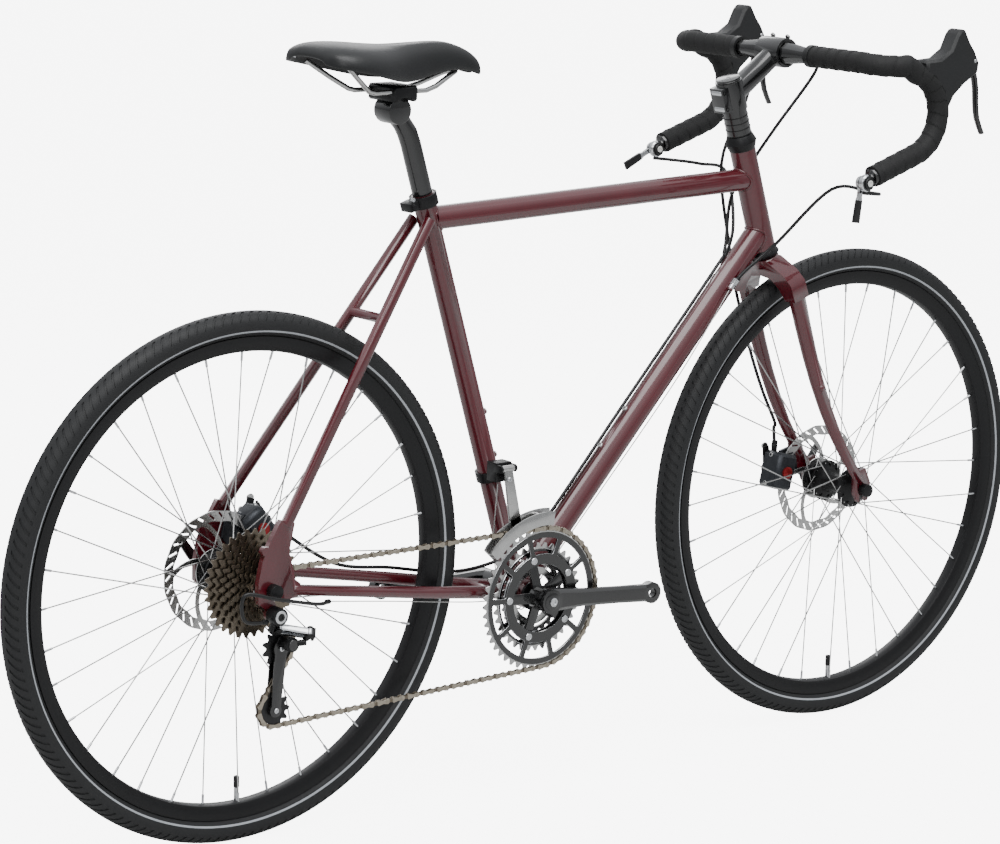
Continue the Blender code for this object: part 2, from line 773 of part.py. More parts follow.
def make_axle(name, axle, half_width, thickness, direction):
    """The hollow axle with its skewer: a nut on the right, the cam housing on the left."""
    face = half_width + thickness
    rod_piece = disc(axle, Y, AXLE_BORE_R - 0.0002, -face - 0.001, face + 0.001, 12)
    nut = disc(axle, Y, 0.0095, -face - 0.012, -face - GAP, 16)
    housing = disc(axle, Y, 0.0095, face + GAP, face + 0.0115, 16)
    body = union(rod_piece, nut, housing)
    pivot = axle + Y * (face + QR_PIVOT_OUT)
    across = at(-direction.z, 0, direction.x)
    cradle = disc(pivot, across, QR_CAM_R + RUN, -0.02, 0.02, 16)
    part(name, cut(body, cradle), "black_alloy")


QR_LENGTH = 0.052
QR_PIVOT_OUT = 0.0150
QR_CAM_R = 0.0045
FRONT_QR_DIR = tilted(radians(55))
REAR_QR_DIR = tilted(radians(127))


def make_qr_lever(name, axle, face, direction):
    pivot = axle + Y * (face + QR_PIVOT_OUT)
    across = at(-direction.z, 0, direction.x)
    cam = disc(pivot, across, QR_CAM_R, -0.0070, 0.0070, 16)
    outline = ((0.0020, 0.0060), (0.020, 0.0065), (QR_LENGTH, 0.0050))
    points = [pivot + direction * u + across * v for u, v in outline]
    points += [pivot + direction * u - across * v for u, v in reversed(outline)]
    arm = plate([(p.x, p.z) for p in points], pivot.y - 0.0010, pivot.y + 0.0030)
    part(name, union(cam, arm), "black_alloy", pivot)


# ---------------------------------------------------------------- fork
CROWN_DROP = 0.058
CROWN_HALF = 0.0625
BLADE_Y = 0.0520
BLADE_R = 0.0104
BLADE_OVAL = 1.30
CROWN_UNDER = TYRE_RADIUS + 0.0105 - CROWN_T
BOSS_FRACTION = 0.46


def fork_point(forward, y, t):
    return steer(t) + STEER_FRONT * forward + Y * y


def blade_point(fraction, side):
    top = CROWN_T - CROWN_DROP + 0.004
    t = top * (1 - fraction) + 0.012 * fraction
    y = BLADE_Y + (FRONT_DROPOUT_Y + 0.0042 - BLADE_Y) * fraction
    return fork_point(FORK_RAKE * fraction**2.8, side * y, t)


def make_blade(side):
    steps = 7
    path = [blade_point(i / steps, side) for i in range(steps + 1)]
    radii = [BLADE_R * (1 - 0.42 * i / steps) for i in range(steps + 1)]
    blade = swept(path, radii, 10, BLADE_OVAL)
    outline = (
        (-0.018, 0.026),
        (0.004, 0.032),
        (0.014, 0.012),
        (0.017, -0.004),
        (0.010, -0.017),
        (-0.008, -0.018),
        (-0.016, -0.006),
    )
    inner = side * FRONT_DROPOUT_Y
    outer = side * (FRONT_DROPOUT_Y + FORK_DROPOUT_THICKNESS)
    corners = [(FRONT_AXLE.x + x, FRONT_AXLE.z + z) for x, z in outline]
    dropout = plate(corners, min(inner, outer), max(inner, outer))
    middle = blade_point(BOSS_FRACTION, side)
    radius = BLADE_R * (1 - 0.42 * BOSS_FRACTION)
    mid_boss = boss(middle + Y * side * (radius - 0.0005), Y * side)
    return union(blade, dropout, mid_boss)


def make_fork():
    outline = (
        (0.0200, -0.0010),
        (0.0480, -0.0180),
        (CROWN_HALF - 0.002, -0.0330),
        (CROWN_HALF, -CROWN_DROP),
        (BLADE_Y - BLADE_R, -CROWN_DROP),
        (0.0340, -0.0420),
        (0.0200, CROWN_UNDER - 0.003),
        (0.0, CROWN_UNDER),
    )
    ring = list(outline) + [(-y, s) for y, s in reversed(outline[:-1])]
    thick = 0.0140
    crown = loft(
        [
            [fork_point(-thick, y, CROWN_T + s) for y, s in ring],
            [fork_point(thick, y, CROWN_T + s) for y, s in ring],
        ]
    )
    race = rod(steer(CROWN_T - 0.012), steer(CROWN_T), 0.0205, 16)
    steerer = rod(steer(CROWN_T - 0.015), steer(STEM_TOP_T - 0.003), STEERER_R, TUBE_SIDES)
    body = union(crown, race, steerer, make_blade(1), make_blade(-1))
    bore = rod(steer(CROWN_T + 0.01), steer(STEM_TOP_T + 0.02), STEERER_R - 0.0016, 12)
    slots = [bore]
    outline = [(FRONT_AXLE.x + x, FRONT_AXLE.z + z) for x, z in FORK_TAB]
    tab = plate(outline, FRONT_DROPOUT_Y, FRONT_DROPOUT_Y + FORK_DROPOUT_THICKNESS)
    body = union(body, tab)
    for side in (-1, 1):
        middle = FRONT_AXLE + Y * side * (FRONT_DROPOUT_Y + FORK_DROPOUT_THICKNESS / 2)
        slots.append(disc(middle, Y, AXLE_BORE_R + GAP, -0.006, 0.006, 16))
        slots.append(block(middle - Z * 0.015, (2 * (AXLE_BORE_R + GAP), 0.012, 0.03)))
    part("fork", cut(body, *slots), "burgundy_enamel", steer(CROWN_T))


# ---------------------------------------------------------------- stem and handlebar
STEM_CLAMP_R = STEERER_R + 0.0048
BAR_CLAMP_WIDTH = 0.046


def make_stem():
    low = HEAD_TOP_T + UPPER_STACK + GAP
    spacers = rod(steer(low), steer(STEM_LOW_T + 0.003), STEERER_R + 0.0032, 20)
    clamp = rod(steer(STEM_LOW_T), steer(STEM_TOP_T), STEM_CLAMP_R, 20)
    cap = rod(steer(STEM_TOP_T - 0.003), steer(STEM_TOP_T + 0.004), STEERER_R + 0.0026, 20)
    arm = rod(STEM_MID + STEM_DIR * 0.008, BAR_CENTRE - STEM_DIR * 0.006, 0.0165, 12, 0.0150)
    bar_clamp = disc(BAR_CENTRE, Y, BAR_CLAMP_R + 0.0050, -BAR_CLAMP_WIDTH / 2, BAR_CLAMP_WIDTH / 2, 20)
    turn = Matrix.Rotation(pi / 2 - HEAD_ANGLE, 3, "Y").inverted()
    ears = block(STEM_MID - STEER_FRONT * (STEM_CLAMP_R + 0.001), (0.012, 0.026, 0.036), turn)
    body = union(clamp, spacers, cap, arm, bar_clamp, ears)
    bore = rod(steer(low - 0.01), steer(STEM_TOP_T - 0.001), STEERER_R + GAP, TUBE_SIDES)
    bar_bore = disc(BAR_CENTRE, Y, BAR_CLAMP_R + GAP, -0.03, 0.03, 20)
    part("stem", cut(body, bore, bar_bore), "black_alloy")


DROP_CENTRE = BAR_CENTRE + at(BAR_REACH - BAR_DROP_R, 0, -BAR_DROP_BELOW)
DROP_START = radians(80)
DROP_END = radians(-72)
TAIL_DIR = at(sin(DROP_END), 0, -cos(DROP_END))


def drop_point(angle, radius=BAR_DROP_R):
    return DROP_CENTRE + at(cos(angle), 0, sin(angle)) * radius


def bar_half():
    """Centreline from the clamp outwards along +Y, round the hooks to the end of the tail."""
    straight = BAR_HALF_WIDTH - BAR_TOP_BEND_R
    points = [BAR_CENTRE + Y * y for y in (0.028, 0.058, TAPE_START, straight * 0.75, straight)]
    for step in range(1, 4):
        angle = step * pi / 6
        out = at(1 - cos(angle), sin(angle), 0) * BAR_TOP_BEND_R
        points.append(BAR_CENTRE + Y * straight + out - Z * 0.003 * sin(angle))
    steps = 6
    for step in range(steps + 1):
        angle = DROP_START + (DROP_END - DROP_START) * step / steps
        points.append(drop_point(angle) + Y * BAR_HALF_WIDTH)
    tail = drop_point(DROP_END) + Y * BAR_HALF_WIDTH
    points.append(tail + TAIL_DIR * BAR_TAIL * 0.5)
    points.append(tail + TAIL_DIR * BAR_TAIL)
    points.append(tail + TAIL_DIR * (BAR_TAIL + 0.003))
    return points


BAR_OUT = bar_half()
BAR_PATH = [at(p.x, -p.y, p.z) for p in reversed(BAR_OUT)] + BAR_OUT
BAR_FRAMES = carried_frames(BAR_PATH)
BAR_SIDES = 8
TAPE_FIRST = 2  # the point of the half path where the tape begins
TAPE_LAST = len(BAR_OUT) - 2


def bar_skin(first, last, radii):
    """A sleeve of the bar between two points of its path, with the bar's own facets."""
    rings = []
    for index in range(first, last + 1):
        a, b = BAR_FRAMES[index]
        radius = radii[index - first] if isinstance(radii, list) else radii
        ring = []
        for i in range(BAR_SIDES):
            angle = 2 * pi * (i + 0.5) / BAR_SIDES
            ring.append(BAR_PATH[index] + (a * cos(angle) + b * sin(angle)) * radius)
        rings.append(ring)
    return rings


def tape_span(side):
    """First and last index of one side's tape in the whole bar path."""
    half = len(BAR_OUT)
    if side > 0:
        return half + TAPE_FIRST, half + TAPE_LAST
    return half - 1 - TAPE_LAST, half - 1 - TAPE_FIRST


POD_CENTRE = BAR_OUT[-2] + TAIL_DIR * 0.013 - Z * 0.004
POD_HALF = 0.0060


def make_handlebar():
    radii = []
    for point in BAR_PATH:
        wide = abs(point.y) < 0.029
        radii.append(BAR_CLAMP_R if wide else BAR_R)
    bar = loft(bar_skin(0, len(BAR_PATH) - 1, radii))
    pods = []
    for side in (-1, 1):
        end = at(BAR_OUT[-1].x, side * BAR_OUT[-1].y, BAR_OUT[-1].z)
        centre = at(POD_CENTRE.x, side * POD_CENTRE.y, POD_CENTRE.z)
        pods.append(rod(end - TAIL_DIR * 0.002, centre, POD_HALF * 0.95, 8))
        pods.append(disc(centre, Y, 0.0105, -POD_HALF, POD_HALF, 12))
    part("handlebar", union(bar, *pods), "black_alloy", BAR_CENTRE)


def make_tape(side, name):
    first, last = tape_span(side)
    outer = bar_skin(first, last, TAPE_R)
    inner = bar_skin(first, last, BAR_R + GAP)
    bm = bmesh.new()
    walls = []
    for rings in (outer, inner):
        rows = [[bm.verts.new(p) for p in ring] for ring in rings]
        for low, high in zip(rows, rows[1:]):
            for i in range(BAR_SIDES):
                j = (i + 1) % BAR_SIDES
                bm.faces.new((low[i], low[j], high[j], high[i]))
        walls.append(rows)
    for end in (0, -1):
        out, inn = walls[0][end], walls[1][end]
        for i in range(BAR_SIDES):
            j = (i + 1) % BAR_SIDES
            bm.faces.new((out[i], out[j], inn[j], inn[i]))
    part(name, to_object(bm), "cork_tape")


HOOD_BASE = drop_point(radians(55))
HOOD_HALF = 0.0140
HOOD_OUTLINE = (
    (-0.014, 0.0270),
    (0.013, 0.0285),
    (0.033, 0.0405),
    (0.043, 0.0605),
    (0.051, 0.0690),
    (0.060, 0.0665),
    (0.071, 0.0485),
    (0.081, 0.0365),
    (0.090, 0.0205),
    (0.088, 0.0065),
    (0.063, -0.0075),
    (0.043, -0.0235),
    (0.034, -0.0395),
    (0.022, -0.0420),
    (0.010, -0.0145),
    (-0.012, 0.0055),
)
LEVER_PIVOT = HOOD_BASE + at(0.080, 0, 0.0235)
LEVER_HALF = 0.0065
LEVER_HUB_R = 0.0070
LEVER_PATH = (
    (0.0, 0.0),
    (0.0095, -0.014),
    (0.0165, -0.038),
    (0.0185, -0.060),
    (0.0225, -0.082),
    (0.0340, -0.104),
)
LEVER_SLOT = (
    (-0.0060, 0.0062),
    (0.0, 0.0085),
    (0.0300, 0.0120),
    (0.0500, -0.0200),
    (0.0500, -0.0900),
    (-0.0500, -0.0750),
)


def make_hood(side, name):
    y = side * BAR_HALF_WIDTH
    outline = [(HOOD_BASE.x + x, HOOD_BASE.z + z) for x, z in HOOD_OUTLINE]
    hood = softened(plate(outline, y - HOOD_HALF, y + HOOD_HALF), 0.0035, radians(50))
    first, last = tape_span(side)
    space = loft(bar_skin(first, last, TAPE_R + GAP))
    slot = plate(
        [(LEVER_PIVOT.x + x, LEVER_PIVOT.z + z) for x, z in LEVER_SLOT],
        y - LEVER_HALF - RUN,
        y + LEVER_HALF + RUN,
    )
    well = disc(LEVER_PIVOT + Y * y, Y, LEVER_HUB_R + RUN, -LEVER_HALF - RUN, LEVER_HALF + RUN, 20)
    part(name, cut(hood, space, slot, well), "rubber")


def make_brake_lever(side, name):
    pivot = LEVER_PIVOT + Y * side * BAR_HALF_WIDTH
    hub = disc(pivot, Y, LEVER_HUB_R, -LEVER_HALF, LEVER_HALF, 16)
    path = smooth_path([pivot + at(x, 0, z) for x, z in LEVER_PATH], 2)
    count = len(path) - 1
    radii = [0.0062 - 0.0012 * i / count for i in range(count + 1)]
    blade = swept(path, radii, 8, 0.62)
    part(name, union(hub, blade), "black_alloy", pivot)


SHIFT_LENGTH = 0.056


def make_shift_lever(side, name, angle):
    """The lever sits on the left face of its pod on both sides."""
    pivot = at(POD_CENTRE.x, side * POD_CENTRE.y, POD_CENTRE.z)
    low, high = POD_HALF + GAP, POD_HALF + 0.0060
    hub = disc(pivot, Y, 0.0090, low, high, 16)
    along = tilted(angle)
    across = at(-along.z, 0, along.x)
    outline = []
    for u, v in ((0.004, 0.0040), (0.020, 0.0035), (0.026, 0.0052), (SHIFT_LENGTH, 0.0058)):
        outline.append((u, v))
    points = [pivot + along * u + across * v for u, v in outline]
    points += [pivot + along * u - across * v for u, v in reversed(outline)]
    arm = plate([(p.x, p.z) for p in points], pivot.y + low + 0.0006, pivot.y + high - 0.0006)
    part(name, union(hub, arm), "black_alloy", pivot)


# ---------------------------------------------------------------- seatpost and saddle
HEAD_R = 0.018
RAIL_UP = 0.0255


def make_seatpost():
    low = seat(SEAT_TUBE_LENGTH - SEATPOST_INSERTED)
    bend = SEAT_TUBE_LENGTH + SEATPOST_EXPOSED
    straight = bend - 0.048
    path = [low, seat(straight), seat(bend - 0.032) - X * 0.0015, seat(bend - 0.018) - X * 0.0065]
    path.append(TILT_AXIS - Z * 0.004)
    radii = [SEATPOST_R, SEATPOST_R, SEATPOST_R, SEATPOST_R * 0.93, SEATPOST_R * 0.80]
    post = swept(path, radii, TUBE_SIDES)
    head = disc(TILT_AXIS, Y, HEAD_R, -0.017, 0.017, 20)
    part("seatpost", union(post, head), "black_alloy", seat(SEAT_TUBE_LENGTH))


def make_saddle_clamp():
    low, high = 0.0125, 0.0335
    centre = TILT_AXIS + Z * (low + high) / 2
    body = block(centre, (0.040, 2 * RAIL_SPREAD + 0.014, high - low))
    body = softened(body, 0.003)
    cutters = [disc(TILT_AXIS, Y, HEAD_R + RUN, -0.05, 0.05, 24)]
    for side in (-1, 1):
        rail = TILT_AXIS + at(0, side * RAIL_SPREAD, RAIL_UP)
        cutters.append(rod(rail - X * 0.04, rail + X * 0.04, RAIL_R + GAP, 12))
    part("saddle_clamp", cut(body, *cutters), "black_alloy", TILT_AXIS)


def make_rails():
    side_points = (
        (-0.106, 0.0450, 0.0640),
        (-0.076, 0.0320, 0.0420),
        (-0.055, RAIL_SPREAD, RAIL_UP + 0.0025),
        (-0.045, RAIL_SPREAD, RAIL_UP),
        (0.037, RAIL_SPREAD, RAIL_UP),
        (0.055, RAIL_SPREAD - 0.003, 0.0300),
        (0.086, 0.0105, 0.0430),
        (0.097, 0.0060, 0.0465),
    )
    left = [TILT_AXIS + at(x, y, z) for x, y, z in side_points]
    right = [at(p.x, -p.y, p.z) for p in reversed(left)]
    part("saddle_rails", swept(left + right, RAIL_R, 8), "stainless", TILT_AXIS)


SADDLE_SECTIONS = (
    (-0.500, 0.560, 0.0785, 0.0660),
    (-0.474, 0.850, 0.0885, 0.0635),
    (-0.400, 0.990, 0.0925, 0.0590),
    (-0.292, 1.000, 0.0915, 0.0530),
    (-0.182, 0.870, 0.0885, 0.0455),
    (-0.073, 0.640, 0.0865, 0.0390),
    (0.036, 0.460, 0.0875, 0.0365),
    (0.146, 0.370, 0.0890, 0.0430),
    (0.274, 0.325, 0.0885, 0.0500),
    (0.383, 0.300, 0.0795, 0.0490),
    (0.456, 0.260, 0.0690, 0.0420),
    (0.500, 0.160, 0.0570, 0.0395),
)


def make_saddle():
    """A domed shell: each section is an arch, thick at the top and open underneath."""
    rings = []
    for share, width, top, edge in SADDLE_SECTIONS:
        centre = TILT_AXIS + X * share * SADDLE_LENGTH
        half = width * SADDLE_HALF_WIDTH
        ring = []
        for k in range(9):
            angle = pi * k / 8
            y = half * (abs(cos(angle)) ** 0.75) * (1 if cos(angle) > 0 else -1)
            ring.append(centre + at(0, y, edge + (top - edge) * sin(angle) ** 0.70))
        inside = max(half - 0.0065, half * 0.45)
        under = top - min(0.012, (top - edge) * 0.55)
        for k in range(7):
            angle = pi * (6 - k) / 6
            y = inside * (abs(cos(angle)) ** 0.75) * (1 if cos(angle) > 0 else -1)
            ring.append(centre + at(0, y, edge + (under - edge) * sin(angle) ** 0.70))
        rings.append(ring)
    part("saddle", loft(rings), "saddle_vinyl", TILT_AXIS)


# ---------------------------------------------------------------- cranks and chainrings
CRANK_SECTIONS = (
    (-0.004, 0.0160, 0.0560, 0.0760),
    (0.022, 0.0150, 0.0575, 0.0755),
    (0.060, 0.0120, 0.0615, 0.0755),
    (0.120, 0.0115, 0.0680, 0.0810),
    (0.160, 0.0120, 0.0722, 0.0855),
    (0.176, 0.0120, 0.0725, 0.0855),
)
CRANK_END_R = 0.0150
CRANK_BOSS_R = 0.0170
LEFT_BOSS_INNER = BB_SHELL_WIDTH / 2 + 0.0045
SPINDLE_END = 0.058
TOOTH_THICKNESS = 0.0018
TOOTH_RISE = 0.0018
TOOTH_DEPTH = 0.0033
SPIDER_LOW = RING_Y[0] + RING_THICKNESS / 2 + GAP
SPIDER_HIGH = RING_Y[1] - RING_THICKNESS / 2 - GAP


def crank_beam(side, angle):
    along = tilted(angle)
    across = at(-along.z, 0, along.x)
    rings = []
    for u, half, near, far in CRANK_SECTIONS:
        centre = BB + along * u
        bevel = half * 0.35
        depth = (far - near) * 0.25
        ring = []
        for v, y in (
            (half - bevel, near),
            (half, near + depth),
            (half, far - depth),
            (half - bevel, far),
            (bevel - half, far),
            (-half, far - depth),
            (-half, near + depth),
            (bevel - half, near),
        ):
            ring.append(centre + across * v + Y * side * y)
        rings.append(ring)
    beam = loft(rings)
    eye_y = (CRANK_SECTIONS[-1][2], CRANK_SECTIONS[-1][3])
    low, high = sorted((side * eye_y[0], side * eye_y[1]))
    eye = disc(BB + along * CRANK_LENGTH, Y, CRANK_END_R, low + 0.0001, high - 0.0001, 16)
    return union(beam, eye)


def pedal_hole(angle):
    return disc(BB + tilted(angle) * CRANK_LENGTH, Y, PEDAL_HOLE_R, -0.10, 0.10, 12)


def make_cranks():
    spindle = disc(BB, Y, SPINDLE_R, -0.062, SPINDLE_END, 16)
    hub = disc(BB, Y, CRANK_BOSS_R, -0.0790, SPIDER_HIGH - 0.0003, 16)
    pieces = [spindle, hub]
    for k in range(5):
        angle = CRANK_ANGLE + radians(36 + 72 * k)
        along = tilted(angle)
        across = at(-along.z, 0, along.x)
        corners = [BB + across * 0.0080, BB + along * BOLT_CIRCLE_R + across * 0.0062]
        corners += [BB + along * BOLT_CIRCLE_R - across * 0.0062, BB - across * 0.0080]
        pieces.append(plate([(c.x, c.z) for c in corners], SPIDER_LOW, SPIDER_HIGH))
        bolt = BB + along * BOLT_CIRCLE_R
        pieces.append(disc(bolt, Y, 0.0070, SPIDER_LOW + 0.0001, SPIDER_HIGH - 0.0001, 10))
        low = RING_Y[2] - RING_THICKNESS / 2 - GAP
        pieces.append(disc(BB + along * INNER_BOLT_CIRCLE_R, Y, 0.0045, SPIDER_HIGH - 0.001, low, 8))
    right = union(crank_beam(-1, CRANK_ANGLE), *pieces)
    part("crank_arm_right", cut(right, pedal_hole(CRANK_ANGLE)), "black_alloy", BB)
    angle = CRANK_ANGLE + pi
    boss_piece = disc(BB, Y, CRANK_BOSS_R, LEFT_BOSS_INNER, 0.0790, 16)
    left = union(crank_beam(1, angle), boss_piece)
    socket = disc(BB, Y, SPINDLE_R + GAP, 0.0, SPINDLE_END + 0.0005, 16)
    part("crank_arm_left", cut(left, socket, pedal_hole(angle)), "black_alloy", BB)


def toothed(centre, y, thickness, teeth):
    """A sprocket blank with pointed teeth round a pitch circle."""
    pitch_r = pitch_radius(teeth)
    outline = []
    for k in range(2 * teeth):
        radius = pitch_r + TOOTH_RISE if k % 2 == 0 else pitch_r - TOOTH_DEPTH
        angle = pi * k / teeth
        outline.append((centre.x + radius * cos(angle), centre.z + radius * sin(angle)))
    return plate(outline, y - thickness / 2, y + thickness / 2)


def make_chainring(name, teeth, y, hole_r):
    rim = toothed(BB, y, TOOTH_THICKNESS, teeth)
    low, high = y - RING_THICKNESS / 2, y + RING_THICKNESS / 2
    web = disc(BB, Y, pitch_radius(teeth) - 0.0055, low, high, 24)
    hole = disc(BB, Y, hole_r, low - 0.01, high + 0.01, 20)
    part(name, cut(union(rim, web), hole), "nickel_steel", BB)


FREEHUB_R = 0.0165
FREEHUB_END = COG_Y[-1] + 0.0027


def make_cassette():
    core_r = pitch_radius(COGS[0]) - CHAIN_HALF_HEIGHT - 0.0005
    low = COG_Y[0] - 0.0026
    high = COG_Y[-1] + COG_THICKNESS / 2
    core = disc(REAR_AXLE, Y, core_r, low, high - 0.0002, 16)
    cogs = [toothed(REAR_AXLE, COG_Y[0], COG_THICKNESS, COGS[0])]
    half = COG_THICKNESS / 2
    for teeth, y in zip(COGS[1:], COG_Y[1:]):
        cogs.append(disc(REAR_AXLE, Y, pitch_radius(teeth), y - half, y + half, min(teeth, 18)))
    bore = disc(REAR_AXLE, Y, FREEHUB_R + RUN, -0.09, 0, 16)
    part("cassette", cut(union(core, *cogs), bore), "nickel_steel", REAR_AXLE)


# ---------------------------------------------------------------- rear derailleur
HANGER = REAR_AXLE + HANGER_DROP
CAGE_Y = COG_Y[0]
CAGE_PIVOT = HANGER + at(0.0235, 0, -0.0410)
GUIDE_AXLE = HANGER + at(0.0185, CAGE_Y, -0.0490)
TENSION_AXLE = HANGER + at(0.0110, CAGE_Y, -0.1300)
LINK_SIDE = at(0.90, -0.26, -0.35).normalized()
LINK_SWING = at(0, 0.80, -0.60)
LINK_AXIS = LINK_SIDE.cross(LINK_SWING)
LINK_LENGTH = 0.040
LINK_REST = radians(-14)
LINK_VECTOR = (LINK_SIDE * cos(LINK_REST) + LINK_SWING * sin(LINK_REST)) * LINK_LENGTH
LINK_ALONG = LINK_VECTOR.normalized()
LINK_SPACING = LINK_SWING * 0.0095
LINK_HUB_R = 0.0036
LINK_HALF = 0.0045
B_PIVOT = HANGER + at(0.0080, -0.0750, -0.0196)
P_PIVOT = B_PIVOT + LINK_VECTOR
PULLEY_R = pitch_radius(PULLEY_TEETH) - CHAIN_HALF_HEIGHT - 0.0004


def oriented(centre, along_x, along_y, along_z, size):
    """A box whose sides run along three given directions."""
    turn = Matrix((along_x, along_y, along_z)).transposed()
    return block(centre, size, turn)


def cheeks(pivot):
    """The two plates of a knuckle that hold both links' pins."""
    pieces = []
    across = LINK_AXIS.cross(LINK_SWING)
    outline = []
    for k in range(10):
        angle = 2 * pi * (k + 0.5) / 10
        reach = LINK_SPACING / 2 if cos(angle) > 0 else -LINK_SPACING / 2
        outline.append(reach + (LINK_SWING * cos(angle) + across * sin(angle)) * 0.0045)
    for end in (-1, 1):
        near = pivot + LINK_AXIS * end * (LINK_HALF + 0.0003)
        far = near + LINK_AXIS * end * 0.0020
        pieces.append(loft([[near + p for p in outline], [far + p for p in outline]]))
    return pieces


def web(pivot, away):
    """The wall joining a knuckle's two cheeks behind the links."""
    centre = pivot + away * 0.0068
    normal = LINK_AXIS.cross(away)
    size = (2 * LINK_HALF + 0.0040, 0.0120, 0.0036)
    return oriented(centre, LINK_AXIS, normal, away, size)


def make_knuckles():
    outer = -REAR_DROPOUT_Y - DROPOUT_THICKNESS
    barrel = disc(HANGER, Y, 0.0115, outer - 0.0175, outer - GAP, 20)
    start = HANGER + at(-0.0048, outer - 0.0110, -0.0060)
    end = B_PIVOT + at(-0.0100, 0.0008, -0.0018)
    knuckle = union(barrel, rod(start, end, 0.0045, 10), web(B_PIVOT, -LINK_ALONG), *cheeks(B_PIVOT))
    part("rd_b_knuckle", knuckle, "black_alloy", HANGER + Y * (outer - 0.009))

    cage_outer = CAGE_Y - 0.0070
    barrel = disc(CAGE_PIVOT, Y, 0.0095, cage_outer - 0.0185, cage_outer - GAP, 20)
    start = CAGE_PIVOT + at(0.0020, cage_outer - 0.0110, -0.0005)
    end = P_PIVOT + LINK_SPACING / 2 - LINK_AXIS * (LINK_HALF + 0.0058)
    knuckle = union(barrel, rod(start, end, 0.0042, 10), web(P_PIVOT, LINK_ALONG), *cheeks(P_PIVOT))
    part("rd_p_knuckle", knuckle, "black_alloy", P_PIVOT)


def make_link(name, share):
    start = B_PIVOT + LINK_SPACING * share
    end = start + LINK_VECTOR
    normal = LINK_AXIS.cross(LINK_ALONG)
    bar = oriented((start + end) / 2, LINK_ALONG, LINK_AXIS, normal, (LINK_LENGTH, 2 * LINK_HALF, 0.0046))
    hubs = [disc(p, LINK_AXIS, LINK_HUB_R, -LINK_HALF, LINK_HALF, 12) for p in (start, end)]
    part(name, union(bar, *hubs), "polished_alloy", start)


def make_cage():
    pieces = []
    outer_low, inner_low = CAGE_Y - 0.0070, CAGE_Y + 0.0050
    for low, guide_r in ((outer_low, 0.0115), (inner_low, 0.0100)):
        high = low + 0.0020
        pivot_r = 0.0110 if low == outer_low else 0.0090
        spine = []
        for point, half in ((GUIDE_AXLE, guide_r), (TENSION_AXLE, 0.0090)):
            pieces.append(disc(at(point.x, 0, point.z), Y, half, low, high, 16))
            spine.append((point, half * 0.8))
        (p, a), (q, b) = spine
        corners = [(p.x + a, p.z), (q.x + b, q.z), (q.x - b, q.z), (p.x - a, p.z)]
        pieces.append(plate(corners, low, high))
        if low == outer_low:
            pieces.append(disc(CAGE_PIVOT, Y, pivot_r, low, high, 16))
    for point in (GUIDE_AXLE, TENSION_AXLE):
        pieces.append(disc(at(point.x, 0, point.z), Y, 0.0025, outer_low + 0.001, inner_low + 0.001, 10))
    part("rd_cage", union(pieces[0], *pieces[1:]), "black_alloy", at(CAGE_PIVOT.x, CAGE_Y, CAGE_PIVOT.z))


def make_pulley(name, axle):
    centre = at(axle.x, 0, axle.z)
    low, high = CAGE_Y - 0.0020, CAGE_Y + 0.0020
    wheel = disc(centre, Y, PULLEY_R, low, high, 22)
    bore = disc(centre, Y, 0.0028, low - 0.01, high + 0.01, 12)
    part(name, cut(wheel, bore), "black_plastic", axle)


# ---------------------------------------------------------------- chain
def tangent_run(start, r1, s1, end, r2, s2):
    """The straight run between two wheels: its two ends and its direction, in the x-z plane.

    The sense is +1 where the chain goes round anticlockwise seen from the right, and -1 clockwise.
    """
    dx, dz = end.x - start.x, end.z - start.z
    distance = hypot(dx, dz)
    turn = atan2(dz, dx) - acos((s1 * r1 - s2 * r2) / distance)
    m = at(cos(turn), 0, sin(turn))
    return start + m * (s1 * r1), end + m * (s2 * r2), turn + pi / 2


def chain_path():
    ring = at(BB.x, RING_Y[0], BB.z)
    cog = at(REAR_AXLE.x, COG_Y[0], REAR_AXLE.z)
    pulley_r = pitch_radius(PULLEY_TEETH)
    wheels = (
        (ring, pitch_radius(RING_TEETH[0]), -1, 16),
        (TENSION_AXLE, pulley_r, -1, 7),
        (GUIDE_AXLE, pulley_r, 1, 4),
        (cog, pitch_radius(COGS[0]), -1, 11),
    )
    runs = []
    for i, (centre, radius, sense, _) in enumerate(wheels):
        after, after_r, after_s, _ = wheels[(i + 1) % len(wheels)]
        runs.append(tangent_run(centre, radius, sense, after, after_r, after_s))
    points = []
    for i, (centre, radius, sense, steps) in enumerate(wheels):
        arrive = runs[i - 1][2]
        leave = runs[i][2]
        swing = (leave - arrive) % (2 * pi)
        if sense < 0:
            swing -= 2 * pi
        for step in range(steps + 1):
            heading = arrive + swing * step / steps
            right = at(sin(heading), 0, -cos(heading))
            points.append((centre + right * (sense * radius), heading))
        if i == 0:
            points.insert(0, (points[0][0] - tilted(arrive, 0.035), arrive))
        if i in (0, 3):
            points.append((points[-1][0] + tilted(leave, 0.035), leave))
    return points


def make_chain():
    wide, high = CHAIN_HALF_WIDTH, CHAIN_HALF_HEIGHT
    groove, depth = 0.0012, 0.0026
    section = (
        (-wide, -high),
        (-wide, high),
        (wide, high),
        (wide, -high),
        (groove, -high),
        (groove, depth),
        (-groove, depth),
        (-groove, -high),
    )
    rings = []
    for point, heading in chain_path():
        out = at(-sin(heading), 0, cos(heading))
        rings.append([point + Y * y + out * n for y, n in section])
    part("chain", loft(rings, closed=True), "nickel_steel")


# ---------------------------------------------------------------- front derailleur
FD_HINGE = BB + at(-0.0570, -0.0450, 0.1850)
FD_BAND_AT = 0.178
CAGE_ARC = tuple(radians(a) for a in (84, 96, 108, 120, 132))
CAGE_TAIL = ((-0.084, 0.070), (-0.092, 0.082), (-0.080, 0.104), (-0.048, 0.126), (0.004, 0.129), (0.015, 0.118))


